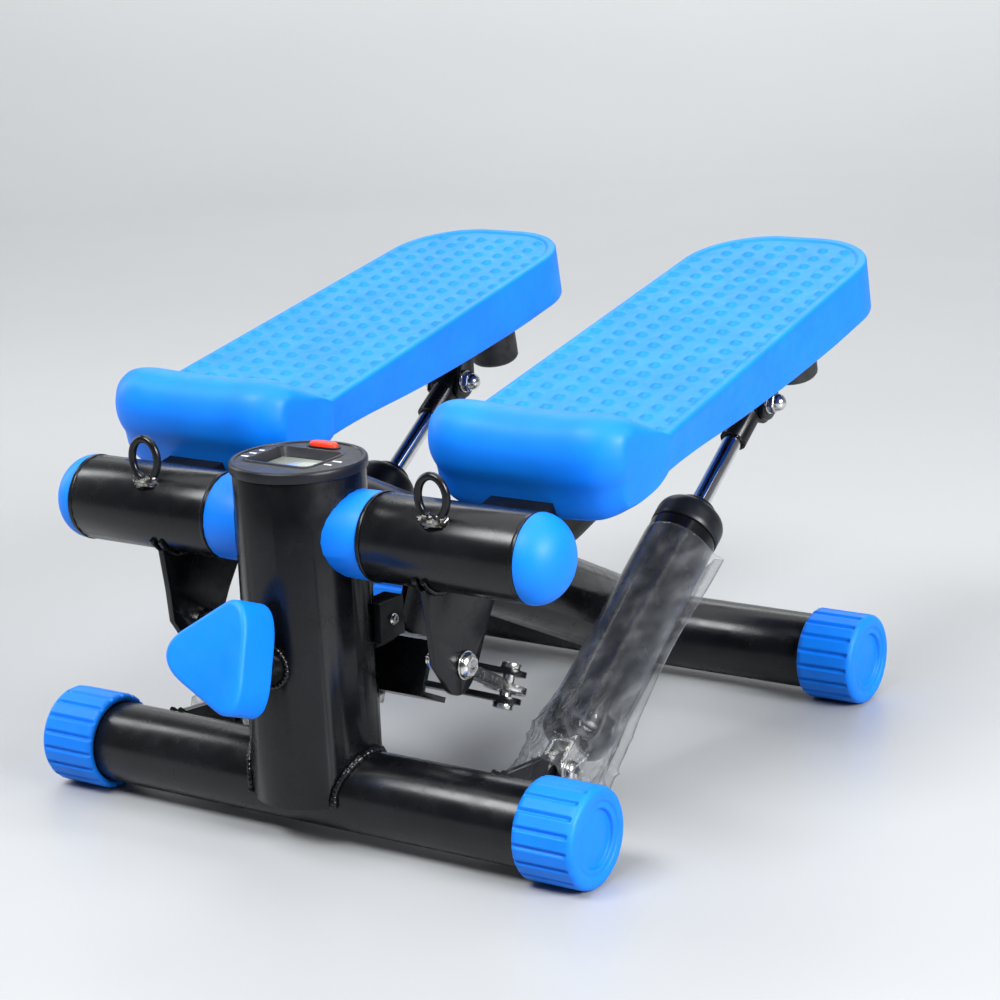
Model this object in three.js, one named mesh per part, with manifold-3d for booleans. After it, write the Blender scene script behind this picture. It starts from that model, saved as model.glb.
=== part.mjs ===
// Twist stepper: two pedals on one cross axle, each held by a hydraulic cylinder and tied to the other
// by a rocker, so that one rises as the other sinks. Millimetres, +X to the right pedal, +Y to the rear,
// +Z up. The front foot tube lies along X at y = 0 until the last line, which moves the whole stepper so
// that its origin is the centre of its footprint, on the floor.

import * as THREE from "three";
import { mergeVertices } from "three/addons/utils/BufferGeometryUtils.js";
import Module from "manifold-3d";

const wasm = await Module();
wasm.setup();

// Driving dimensions.
const GAP = 0.3; // between pieces that touch
const CAP_R = 30; // foot cap, over its flutes
const CAP_LENGTH = 40;
const CAP_FACE = 6; // thickness of the closed end of a foot cap
const CAP_FLUTES = 18;
const CAP_LAND = 0.32; // half the width of a land between two grooves, as a share of their spacing
const FOOT_Z = CAP_R * Math.cos((CAP_LAND * 2 * Math.PI) / CAP_FLUTES); // a land lies flat on the floor
const FLUTE_DEPTH = 1.8;
const FOOT_R = 25;
const FOOT_WALL = 1.8;
const FOOT_HALF = 195; // centre to the outer face of a foot cap
const REAR_Y = 348;

const POST_R = 39;
const POST_WALL = 2;
const POST_BOTTOM = 27;
const POST_TOP = 223;

const AXLE_Y = 2;
const AXLE_Z = 188;
const AXLE_R = 8;
const SLEEVE_R = 26;
const SLEEVE_WALL = 2.5;
const SLEEVE_IN = 55;
const SLEEVE_OUT = 160;
const DOME_HEIGHT = 20;

const BEAM_R = 28;
const BEAM_WALL = 3.5;
const BEAM_TOP_Z = 203; // height of the beam's axis where it meets the post's axis
const BEAM_END_Z = 34; // height of the beam's axis over the rear foot tube

// The pedals stand a little off level, right pedal up. Turning one arm by an angle turns the rocker by
// the angle times its ratio.
const LEAN = THREE.MathUtils.degToRad(0.6);
const ROCKER_RATIO = 0.705;

const PEDAL_X = 120;
const PEDAL_HALF = 64; // at the foot of the skirt and at the rear
const TREAD_FLARE = 5; // the tread is this much wider on each side in front
const TREAD_RISE = 6.6; // and this much higher in front
const TREAD_TILT = THREE.MathUtils.degToRad(11.6);
const TREAD_Y = 103.5; // where the flat tread starts, behind the toe lip
const TREAD_Z = 232;
const TREAD_LENGTH = 312;
const DECK = 4;
const SKIRT_FRONT = 19;
const SKIRT_REAR = 34.5;
const SKIRT_WALL = 3;
const PEDAL_CORNER_R = 51;

const ARM_HALF = 21; // half the width of the steel channel under a pedal
const ARM_WALL = 3;
const ARM_TOP = 16; // below the tread
const ARM_BOTTOM = 48;
const ARM_END = 296; // along the tread
const EAR_OUTER = 13; // half the width over the two ears that hold the cylinder's upper pin
const BUMPER_R = 17;
const BUMPER_Y = 274; // along the tread
const BUMPER_BOTTOM = -86;
const PIN_Y = 330; // upper pin of the cylinder
const PIN_Z = 200;
const PIN_R = 4;

const BASE_Y = 78; // lower pin of the cylinder
const BASE_Z = 32;
const BASE_R = 4;
const BARREL_R = 22;
const BARREL_WALL = 3;
const BARREL_START = 18; // all along the cylinder, from its lower pin
const BARREL_END = 188;
const HEAD_END = 212;
const ROD_R = 6.3;
const ROD_LENGTH = 191; // from the piston to the middle of the upper eye
const EYE_NECK = 30; // from the end of the rod to the middle of the upper eye
const ROD_EYE_R = 12.5;
const ROD_EYE_HOLE_R = 8.3;
const ROD_EYE_SHIFT_Y = 1.2; // from the arm's pin to the middle of the hole
const ROD_EYE_SHIFT_Z = -2.4;

const LEVER_X = 95;
const LEVER_HALF = 2;
const LEVER_Y = 18.5; // bolt at the foot of the lever
const LEVER_Z = 111.5;
const LEVER_BOLT_R = 4;

const ROCKER_Y = 64;
const ROCKER_Z = 86;
const ROCKER_REACH = 84;
const ROCKER_SWEEP = 18;
const TONGUE_R = 10.5;
const TONGUE_GAP = 13;
const PLATE = 3.5;
const PIVOT_R = 6;
const LINK_IN = -13; // inner face of the link, from the lever
const EYE_R = 13.5;
const EYE_HOLE_R = 8.9;
const EYE_SHIFT_X = -1.6; // from the rocker's pin to the middle of the hole, in the rocker's frame
const EYE_SHIFT_ALONG = 1.3;
const EYE_SHIFT_ACROSS = -1.2;

const KNOB_TILT = THREE.MathUtils.degToRad(21.7);
const KNOB_Z = 114; // where the knob's axis leaves the post
const KNOB_FACE = 91; // along its axis, from the post's centre line to the front of the knob
const KNOB_THICKNESS = 31;

const EYELET_X = 104;
const EYELET_Y = -15;
const EYELET_Z = 221;
const EYELET_R = 9.6;
const EYELET_STRETCH = 1.28;
const WIRE_R = 2.1;

// Finishes.
function finish(color, roughness, metalness) {
  return new THREE.MeshStandardMaterial({ color, roughness, metalness });
}
const blackPaint = () => finish(0x101114, 0.28, 0.15);
const bluePlastic = () => finish(0x1683e6, 0.42, 0);
const blackPlastic = () => finish(0x1b1c1f, 0.5, 0);
const zinc = () => finish(0xb9bec4, 0.28, 0.95);
const chrome = () => finish(0xdfe3e8, 0.08, 1);

// Solids. Each helper gives a closed body; booleans join and cut them.
function solidOf(geometry) {
  const bare = geometry.clone();
  bare.deleteAttribute("normal");
  bare.deleteAttribute("uv");
  const merged = mergeVertices(bare, 1e-4);
  const triVerts = new Uint32Array(merged.index.array);
  return new wasm.Manifold(
    new wasm.Mesh({ numProp: 3, vertProperties: merged.attributes.position.array, triVerts }),
  );
}

function geometryOf(solid) {
  const mesh = solid.getMesh();
  const geometry = new THREE.BufferGeometry();
  geometry.setAttribute("position", new THREE.BufferAttribute(mesh.vertProperties, 3));
  geometry.setIndex(new THREE.BufferAttribute(mesh.triVerts, 1));
  geometry.computeVertexNormals();
  return geometry;
}

const join = (first, ...rest) => rest.reduce((whole, piece) => whole.add(piece), first);
const cut = (body, ...tools) => tools.reduce((rest, tool) => rest.subtract(tool), body);

const box = (low, high) =>
  solidOf(
    new THREE.BoxGeometry(high[0] - low[0], high[1] - low[1], high[2] - low[2]).translate(
      (low[0] + high[0]) / 2,
      (low[1] + high[1]) / 2,
      (low[2] + high[2]) / 2,
    ),
  );

// Turned bodies. The profile is [radius, place along the axis] pairs that run up the outside first.
const ROUND = 32; // sides of the widest turned bodies
const MEDIUM = 24;
const SMALL = 12; // bolts, pins and bushes
const turned = (profile, sides = MEDIUM) =>
  new THREE.LatheGeometry(
    profile.map(([r, along]) => new THREE.Vector2(r, along)),
    sides,
  );
const alongX = (geometry) => geometry.rotateZ(-Math.PI / 2);
const alongZ = (geometry) => geometry.rotateX(Math.PI / 2);
const rod = (r, from, to) => [
  [0, from],
  [r, from],
  [r, to],
  [0, to],
];
const pipe = (outer, inner, from, to) => [
  [inner, from],
  [outer, from],
  [outer, to],
  [inner, to],
  [inner, from],
];
const rodX = (r, from, to, y = 0, z = 0, sides = MEDIUM) =>
  solidOf(alongX(turned(rod(r, from, to), sides)).translate(0, y, z));
const rodZ = (r, from, to, x = 0, y = 0, sides = MEDIUM) =>
  solidOf(alongZ(turned(rod(r, from, to), sides)).translate(x, y, 0));

// Flat outlines. A side outline is drawn in y and z and has its width along X; a plan outline is drawn in
// x and y and rises along Z.
function outline(points) {
  const shape = new THREE.Shape();
  shape.moveTo(...points[0]);
  for (const point of points.slice(1)) {
    if (point.length === 2) shape.lineTo(...point);
    else shape.absarc(...point, false);
  }
  shape.closePath();
  return shape;
}
const TO_SIDE = new THREE.Matrix4().makeBasis(
  new THREE.Vector3(0, 1, 0),
  new THREE.Vector3(0, 0, 1),
  new THREE.Vector3(1, 0, 0),
);
function raised(shape, from, to, curveSegments = 6) {
  const options = { depth: to - from, bevelEnabled: false, curveSegments };
  return new THREE.ExtrudeGeometry(shape, options).translate(0, 0, from);
}
const sidePlate = (shape, from, to, curveSegments) =>
  solidOf(raised(shape, from, to, curveSegments).applyMatrix4(TO_SIDE));
const planPlate = (shape, from, to, curveSegments) => solidOf(raised(shape, from, to, curveSegments));

const stepper = new THREE.Group();

function add(parent, name, body, material, place = [0, 0, 0]) {
  const geometry = body.isBufferGeometry ? body : geometryOf(body);
  const mesh = new THREE.Mesh(geometry, material);
  mesh.name = name;
  mesh.position.set(...place);
  parent.add(mesh);
}

function frameAt(parent, place, tilt = 0) {
  const frame = new THREE.Group();
  frame.position.set(...place);
  frame.rotation.x = tilt;
  parent.add(frame);
  return frame;
}

const SIDES = [
  ["right", 1],
  ["left", -1],
];

// Feet: a steel tube with a fluted cap pushed over each end.
function footCap() {
  const shape = new THREE.Shape();
  const points = [];
  for (let i = 0; i < CAP_FLUTES; i += 1) {
    for (const [turn, r] of [
      [-CAP_LAND, CAP_R],
      [CAP_LAND, CAP_R],
      [0.5, CAP_R - FLUTE_DEPTH],
    ]) {
      const a = ((i + turn) * 2 * Math.PI) / CAP_FLUTES - Math.PI / 2;
      points.push(new THREE.Vector2(r * Math.cos(a), r * Math.sin(a)));
    }
  }
  shape.setFromPoints(points);
  const body = sidePlate(shape, -CAP_LENGTH, 0);
  const bore = rodX(FOOT_R + GAP, -CAP_LENGTH - 1, -CAP_FACE, 0, 0, ROUND);
  const dish = rodX(17, -1.5, 1);
  return cut(body, bore, dish);
}

function feet() {
  const tubeHalf = FOOT_HALF - CAP_FACE - GAP;
  for (const [end, y] of [
    ["front", 0],
    ["rear", REAR_Y],
  ]) {
    const tube = alongX(turned(pipe(FOOT_R, FOOT_R - FOOT_WALL, -tubeHalf, tubeHalf), ROUND));
    add(stepper, `${end}_foot_tube`, tube, blackPaint(), [0, y, FOOT_Z]);
    for (const [side, sign] of SIDES) {
      const cap = footCap();
      const body = sign > 0 ? cap : cap.mirror([1, 0, 0]);
      add(stepper, `foot_cap_${end}_${side}`, body, bluePlastic(), [sign * FOOT_HALF, y, FOOT_Z]);
    }
  }
}

// Post: an upright tube that the front foot tube, the axle and the knob's boss pass through.
function post() {
  const wall = solidOf(alongZ(turned(pipe(POST_R, POST_R - POST_WALL, POST_BOTTOM, POST_TOP), ROUND)));
  const foot = rodX(FOOT_R + GAP, -60, 60, 0, FOOT_Z, ROUND);
  const axle = rodX(AXLE_R + GAP, -60, 60, AXLE_Y, AXLE_Z);
  const cableHole = rodX(5, 10, 60, 20, 108, SMALL);
  const bossHole = knobAxis(alongZ(turned(rod(11 + GAP, 10, 60))));
  add(stepper, "post", cut(wall, foot, axle, cableHole, bossHole), blackPaint());
}

// The knob's axis starts on the post's axis and runs forwards and up.
function knobAxis(geometry) {
  return solidOf(geometry.rotateX(Math.PI / 2 - KNOB_TILT).translate(0, 0, KNOB_ORIGIN_Z));
}
const KNOB_ORIGIN_Z = KNOB_Z - POST_R * Math.tan(KNOB_TILT);

const BEAM_SLOPE = Math.atan2(BEAM_TOP_Z - BEAM_END_Z, REAR_Y);
const alongBeam = (geometry) => solidOf(geometry.rotateX(-BEAM_SLOPE).translate(0, 0, BEAM_TOP_Z));

function mainBeam() {
  const length = REAR_Y / Math.cos(BEAM_SLOPE);
  const body = alongBeam(turned(pipe(BEAM_R, BEAM_R - BEAM_WALL, 0, length + 40), ROUND));
  const seat = rodZ(POST_R + GAP, 0, 300, 0, 0, ROUND);
  const rear = rodX(FOOT_R + GAP, -60, 60, REAR_Y, FOOT_Z, ROUND);
  const overrun = box([-60, REAR_Y + 2, -60], [60, REAR_Y + 120, 120]);
  const under = box([-60, REAR_Y - FOOT_R - 2, -60], [60, REAR_Y + 120, FOOT_Z]);
  add(stepper, "main_beam", cut(body, seat, rear, overrun, under), blackPaint());
}

// Console: a round housing plugged into the post's top, with a window, a counter board and a button.
const CONSOLE_TOP = 230;
const WINDOW = { x: -3, y: 0, halfX: 22, halfY: 17 };
const BUTTON = { y: 27.5, halfX: 10, halfY: 3.6 };
const BUTTON_X = -2;

function consoleUnit() {
  const rim = POST_R + 1.4;
  const plug = POST_R - POST_WALL - GAP;
  const housing = solidOf(
    alongZ(
      turned(
        [
          [0, 218],
          [plug - 2, 218],
          [plug - 2, 205],
          [plug, 205],
          [plug, POST_TOP + GAP],
          [rim, POST_TOP + GAP],
          [rim, CONSOLE_TOP - 1],
          [rim - 1, CONSOLE_TOP],
          [0, CONSOLE_TOP],
        ],
        ROUND,
      ),
    ),
  );
  const { x, y, halfX, halfY } = WINDOW;
  const recess = box([x - halfX, y - halfY, CONSOLE_TOP - 5], [x + halfX, y + halfY, CONSOLE_TOP + 1]);
  const through = box([x - halfX + 4, y - halfY + 4, 210], [x + halfX - 4, y + halfY - 4, CONSOLE_TOP]);
  const buttonHole = box(
    [BUTTON_X - BUTTON.halfX - GAP, BUTTON.y - BUTTON.halfY - GAP, 210],
    [BUTTON_X + BUTTON.halfX + GAP, BUTTON.y + BUTTON.halfY + GAP, CONSOLE_TOP + 1],
  );
  add(stepper, "console_housing", cut(housing, recess, through, buttonHole), blackPlastic());

  const lens = box(
    [x - halfX + GAP, y - halfY + GAP, CONSOLE_TOP - 5 + GAP],
    [x + halfX - GAP, y + halfY - GAP, CONSOLE_TOP - 2.6],
  );
  add(stepper, "console_lens", lens, finish(0x9aa19c, 0.15, 0));
  const board = box([-24, -24, 208], [24, 22, 210]);
  add(stepper, "counter_board", board, finish(0x1d5a34, 0.5, 0));
  const cap = solidOf(
    new THREE.BoxGeometry(2 * BUTTON.halfX, 2 * BUTTON.halfY, 14).translate(0, 0, CONSOLE_TOP + 2.2 - 7),
  );
  add(stepper, "console_button", cap, finish(0xff3214, 0.4, 0), [BUTTON_X, BUTTON.y, 0]);
}

// Step counter: a small sensor screwed to the rear right of the post.
function counterSensor() {
  const block = box([28, 14, 118], [42, 38, 142]);
  const postWall = rodZ(POST_R + GAP, 100, 160, 0, 0, ROUND);
  add(stepper, "counter_sensor", cut(block, postWall), blackPlastic());
}

// Knob: a rounded three-sided grip on a screw through a boss in the post. One corner points to the left.
const KNOB_TURN = 0.1; // of the whole outline, anticlockwise from the front
const KNOB_SIDES = [
  [KNOB_TURN, 17.3],
  [KNOB_TURN + (Math.PI * 2) / 3, 28.1],
  [KNOB_TURN - (Math.PI * 2) / 3, 25.2],
];
const KNOB_ROUNDING = 2.2; // higher is sharper

function knobShape(inset) {
  const points = [];
  const steps = 30;
  for (let i = 0; i < steps; i += 1) {
    const a = (i * 2 * Math.PI) / steps;
    let sum = 0;
    for (const [side, distance] of KNOB_SIDES) {
      sum += Math.max(0, Math.cos(a - side) / (distance - inset)) ** KNOB_ROUNDING;
    }
    const r = sum ** (-1 / KNOB_ROUNDING);
    points.push(new THREE.Vector2(r * Math.cos(a), r * Math.sin(a)));
  }
  return new THREE.Shape(points);
}

function knob() {
  const axis = frameAt(stepper, [0, 0, KNOB_ORIGIN_Z], Math.PI / 2 - KNOB_TILT);
  const bossOuter = POST_R / Math.cos(KNOB_TILT) + 10;
  const boss = alongZ(turned(pipe(11, 5 + GAP, POST_R - 8, bossOuter), SMALL));
  add(axis, "knob_boss", boss, blackPaint());
  const back = KNOB_FACE - KNOB_THICKNESS;
  add(axis, "knob_screw", alongZ(turned(rod(5, 20, back), SMALL)), zinc());
  const grip = join(
    planPlate(knobShape(1.5), back + GAP, back + 2),
    planPlate(knobShape(0), back + 2, KNOB_FACE - 2),
    planPlate(knobShape(1.5), KNOB_FACE - 2, KNOB_FACE),
  );
  add(axis, "tension_knob", grip, bluePlastic());
}

// Axle and the fixed spacers that hug the post.
function axle() {
  const shaft = alongX(turned(rod(AXLE_R, -SLEEVE_OUT + 12, SLEEVE_OUT - 12)));
  add(stepper, "pivot_axle", shaft, zinc(), [0, AXLE_Y, AXLE_Z]);
  for (const [side, sign] of SIDES) {
    const from = sign > 0 ? 15 : -SLEEVE_IN + GAP;
    const to = sign > 0 ? SLEEVE_IN - GAP : -15;
    const drum = rodX(SLEEVE_R, from, to, AXLE_Y, AXLE_Z);
    const postWall = rodZ(POST_R + GAP, 100, 260, 0, 0, ROUND);
    const bore = rodX(AXLE_R + GAP, -200, 200, AXLE_Y, AXLE_Z);
    const beam = alongBeam(turned(rod(BEAM_R + GAP, 0, 90), ROUND));
    add(stepper, `axle_spacer_${side}`, cut(drum, postWall, bore, beam), bluePlastic());
  }
}

// A closed skin over a row of outlines that have the same number of points; its ends are flat.
function loft(rings) {
  const count = rings[0].length;
  const index = [];
  rings.slice(1).forEach((ring, k) => {
    for (let i = 0; i < count; i += 1) {
      const a = k * count + i;
      const b = k * count + ((i + 1) % count);
      index.push(a, a + count, b, b, a + count, b + count);
    }
  });
  const flat = rings[0].map(([, y, z]) => new THREE.Vector2(y, z));
  const last = (rings.length - 1) * count;
  for (const [a, b, c] of THREE.ShapeUtils.triangulateShape(flat, [])) {
    index.push(a, c, b, last + a, last + b, last + c);
  }
  const geometry = new THREE.BufferGeometry();
  geometry.setAttribute("position", new THREE.Float32BufferAttribute(rings.flat(2), 3));
  geometry.setIndex(index);
  return solidOf(geometry);
}

// Pedal: a hollow moulding with ribs below and a raised toe lip in front. Its frame has y along the tread.
function pedalPlan(inset) {
  const half = PEDAL_HALF - inset;
  const rear = TREAD_LENGTH - inset;
  const r = PEDAL_CORNER_R - inset;
  return outline([
    [-half, 0],
    [half, 0],
    [half, rear - r],
    [half - r, rear - r, r, 0, Math.PI / 2],
    [-half + r, rear],
    [-half + r, rear - r, r, Math.PI / 2, Math.PI],
  ]);
}

// Toe lip, from the skirt's lower edge round the front, over the ridge and down to the tread.
const LIP = [
  [1, -20],
  [-18, -28],
  [-40, -30],
  [-52, -23],
  [-58.5, -8],
  [-61.5, 4],
  [-60, 18],
  [-53, 29],
  [-42, 33],
  [-29, 30],
  [-15, 20],
  [1, TREAD_RISE],
];
// Half of its width: place across the pedal, how far the front is set back, how much the underside rises
// and how much the ridge is lowered.
const LIP_SECTIONS = [
  [1, 11, 22, 5],
  [0.97, 5, 18, 2],
  [0.92, 1, 12, 0],
  [0.75, 0, 4, 0],
  [0.35, 0, 0, 2],
];

function toeLip() {
  const half = LIP_SECTIONS.map(([at, ...shape]) => [-at, ...shape]);
  const sections = [...half, [0, 0, 0, 3], ...LIP_SECTIONS.toReversed()];
  return loft(
    sections.map(([at, setBack, lift, lower]) =>
      LIP.map(([y, z]) => {
        const forward = Math.min(1, Math.max(0, -y / 45));
        const upper = Math.min(1, Math.max(0, (z + SKIRT_FRONT) / (TREAD_RISE + SKIRT_FRONT)));
        const x = at * (PEDAL_HALF + TREAD_FLARE * upper * (1 - 0.5 * forward));
        const shift = z < 0 ? lift : (-lower * Math.min(1, z / 20));
        return [x, y + setBack * forward, z + shift * forward];
      }),
    ),
  );
}

function footPedal() {
  const skirtSide = outline([
    [0, -SKIRT_FRONT],
    [30, -SKIRT_FRONT - 1.5],
    [95, -SKIRT_REAR + 7],
    [150, -SKIRT_REAR + 3],
    [218, -SKIRT_REAR],
    [TREAD_LENGTH, -SKIRT_REAR],
    [TREAD_LENGTH, TREAD_RISE],
    [0, TREAD_RISE],
  ]);
  const rings = pedalPlan(0).getPoints(5).flatMap(({ x, y }) => {
    const front = 1 - y / TREAD_LENGTH;
    const flared = x * (1 + (TREAD_FLARE / PEDAL_HALF) * front);
    return [
      [flared, y, TREAD_RISE * front],
      [x, y, -SKIRT_REAR - 2],
    ];
  });
  const wide = PEDAL_HALF + TREAD_FLARE;
  const slab = wasm.Manifold.hull(rings).intersect(sidePlate(skirtSide, -wide, wide));
  const rows = 6;
  const columns = 3;
  const rib = 2.5;
  const cellX = (2 * (PEDAL_HALF - SKIRT_WALL) - rib * (columns - 1)) / columns;
  const cellY = (TREAD_LENGTH - 10 - SKIRT_WALL - rib * (rows - 1)) / rows;
  const inside = planPlate(pedalPlan(SKIRT_WALL), -80, -DECK);
  const cells = [];
  for (let i = 0; i < columns; i += 1) {
    for (let j = 0; j < rows; j += 1) {
      const x = -PEDAL_HALF + SKIRT_WALL + i * (cellX + rib);
      const y = 10 + j * (cellY + rib);
      cells.push(box([x, y, -80], [x + cellX, y + cellY, -DECK]));
    }
  }
  const armSlot = box([-ARM_HALF - GAP, -80, -80], [ARM_HALF + GAP, ARM_END + GAP, -ARM_TOP + GAP]);
  const hollow = join(...cells).intersect(inside);
  return cut(join(slab, toeLip()), hollow, armSlot);
}

// Arm: an open-bottomed channel under the pedal. Its ears carry the cylinder's upper pin.
function pedalPoint(y, z) {
  const dy = y - TREAD_Y;
  const dz = z - TREAD_Z;
  const c = Math.cos(TREAD_TILT);
  const s = Math.sin(TREAD_TILT);
  return [dy * c + dz * s, dz * c - dy * s];
}

function armChannel() {
  const [pinY, pinZ] = pedalPoint(PIN_Y, PIN_Z);
  const [axleY, axleZ] = pedalPoint(AXLE_Y, AXLE_Z);
  const start = axleY + 4;
  const wall = outline([
    [start, -ARM_BOTTOM],
    [start + 70, -ARM_BOTTOM],
    [ARM_END - 60, -SKIRT_REAR + 2],
    [ARM_END, -SKIRT_REAR + 2],
    [ARM_END, -ARM_TOP],
    [start, -ARM_TOP],
  ]);
  const ear = outline([
    [pinY - 34, -ARM_TOP - 1],
    [pinY, pinZ, 12, Math.PI * 1.12, Math.PI * 1.95],
    [pinY + 24, -ARM_TOP - 1],
  ]);
  const web = box([-ARM_HALF, start, -ARM_TOP - ARM_WALL], [ARM_HALF, ARM_END, -ARM_TOP]);
  const body = join(
    web,
    sidePlate(wall, -ARM_HALF, -ARM_HALF + ARM_WALL),
    sidePlate(wall, ARM_HALF - ARM_WALL, ARM_HALF),
    sidePlate(ear, -EAR_OUTER, -EAR_OUTER + ARM_WALL),
    sidePlate(ear, EAR_OUTER - ARM_WALL, EAR_OUTER),
  );
  const sleeve = rodX(SLEEVE_R + GAP, -60, 60, axleY, axleZ);
  const pinHole = rodX(PIN_R + GAP, -60, 60, pinY, pinZ, SMALL);
  return cut(body, sleeve, pinHole);
}

function leverPlate() {
  const shape = outline([
    [-19, -22],
    [-15, -48],
    [-13, -68],
    [12, -77, 16, Math.PI * 1.1, Math.PI * 1.85],
    [31.5, -77],
    [41, -60],
    [56, -39],
    [52, -17],
    [16, -8],
  ]);
  const plate = sidePlate(shape, -LEVER_HALF, LEVER_HALF);
  const sleeve = rodX(SLEEVE_R + GAP, -60, 60);
  const hole = rodX(LEVER_BOLT_R + GAP, -60, 60, LEVER_Y - AXLE_Y, LEVER_Z - AXLE_Z, SMALL);
  return cut(plate, sleeve, hole);
}

// A bolt along X with a round head at one end and a nut at the other; sign gives the head's side.
function crossBolt(r, headAt, nutAt, headR, sign) {
  const profile = [
    [0, nutAt - 3],
    [r, nutAt - 3],
    [r, nutAt],
    [r * 1.7, nutAt],
    [r * 1.7, nutAt + r * 1.5],
    [r, nutAt + r * 1.5],
    [r, headAt],
    [headR, headAt],
    [headR * 0.92, headAt + 2],
    [headR * 0.55, headAt + 4.4],
    [0, headAt + 5],
  ];
  const bolt = solidOf(alongX(turned(profile, SMALL)));
  return sign > 0 ? bolt : bolt.mirror([1, 0, 0]);
}

function eyelet() {
  const circle = new THREE.TorusGeometry(EYELET_R, WIRE_R, 7, 18).rotateX(Math.PI / 2);
  const ring = solidOf(circle.scale(1, 1, EYELET_STRETCH));
  const weld = rodZ(4, -26, -EYELET_R, 0, 0, SMALL);
  const sleeve = rodX(SLEEVE_R + GAP, -60, 60, AXLE_Y - EYELET_Y, AXLE_Z - EYELET_Z);
  return cut(join(ring, weld), sleeve);
}

function pedalArm(side, sign) {
  const mirrored = (solid) => (sign > 0 ? solid : solid.mirror([1, 0, 0]));
  const arm = frameAt(stepper, [0, AXLE_Y, AXLE_Z], sign * LEAN);
  const bore = SLEEVE_R - SLEEVE_WALL;
  const bushEnd = SLEEVE_IN + 12;
  const sleeve = turned([
    [AXLE_R + GAP, SLEEVE_IN],
    [SLEEVE_R, SLEEVE_IN],
    [SLEEVE_R, SLEEVE_OUT],
    [bore, SLEEVE_OUT],
    [bore, bushEnd],
    [AXLE_R + GAP, bushEnd],
    [AXLE_R + GAP, SLEEVE_IN],
  ]);
  add(arm, `pedal_sleeve_${side}`, mirrored(solidOf(alongX(sleeve))), blackPaint());
  const domeProfile = [
    [0, SLEEVE_OUT - 9],
    [bore - GAP, SLEEVE_OUT - 9],
    [bore - GAP, SLEEVE_OUT + GAP],
    [SLEEVE_R, SLEEVE_OUT + GAP],
  ];
  for (let i = 1; i < 6; i += 1) {
    const a = (i * Math.PI) / 12;
    domeProfile.push([SLEEVE_R * Math.cos(a), SLEEVE_OUT + GAP + DOME_HEIGHT * Math.sin(a)]);
  }
  domeProfile.push([0, SLEEVE_OUT + GAP + DOME_HEIGHT]);
  add(arm, `sleeve_dome_${side}`, mirrored(solidOf(alongX(turned(domeProfile)))), bluePlastic());
  const eyeletAt = [sign * EYELET_X, EYELET_Y - AXLE_Y, EYELET_Z - AXLE_Z];
  add(arm, `cord_eyelet_${side}`, eyelet(), blackPaint(), eyeletAt);
  add(arm, `rocker_lever_${side}`, leverPlate(), blackPaint(), [sign * LEVER_X, 0, 0]);
  const leverBolt = crossBolt(LEVER_BOLT_R, LEVER_HALF + GAP, LINK_IN - 6.5, 8, sign);
  add(arm, `lever_bolt_${side}`, leverBolt, zinc(), [sign * LEVER_X, LEVER_Y - AXLE_Y, LEVER_Z - AXLE_Z]);

  const tread = frameAt(arm, [sign * PEDAL_X, TREAD_Y - AXLE_Y, TREAD_Z - AXLE_Z], TREAD_TILT);
  add(tread, `foot_pedal_${side}`, footPedal(), bluePlastic());
  add(tread, `pedal_arm_${side}`, armChannel(), blackPaint());
  const pinBolt = crossBolt(PIN_R, EAR_OUTER + GAP, -EAR_OUTER - GAP - 1.5 * PIN_R, 6.5, sign);
  const pinAt = [sign * PEDAL_X, PIN_Y - AXLE_Y, PIN_Z - AXLE_Z];
  add(arm, `cylinder_pin_${side}`, pinBolt, zinc(), pinAt);
  const bumper = turned([
    [0, BUMPER_BOTTOM],
    [BUMPER_R - 2.5, BUMPER_BOTTOM],
    [BUMPER_R, BUMPER_BOTTOM + 2.5],
    [BUMPER_R, -ARM_TOP - ARM_WALL - GAP],
    [0, -ARM_TOP - ARM_WALL - GAP],
  ]);
  add(tread, `rubber_bumper_${side}`, alongZ(bumper), finish(0x17181a, 0.75, 0), [0, BUMPER_Y, 0]);
}

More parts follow.
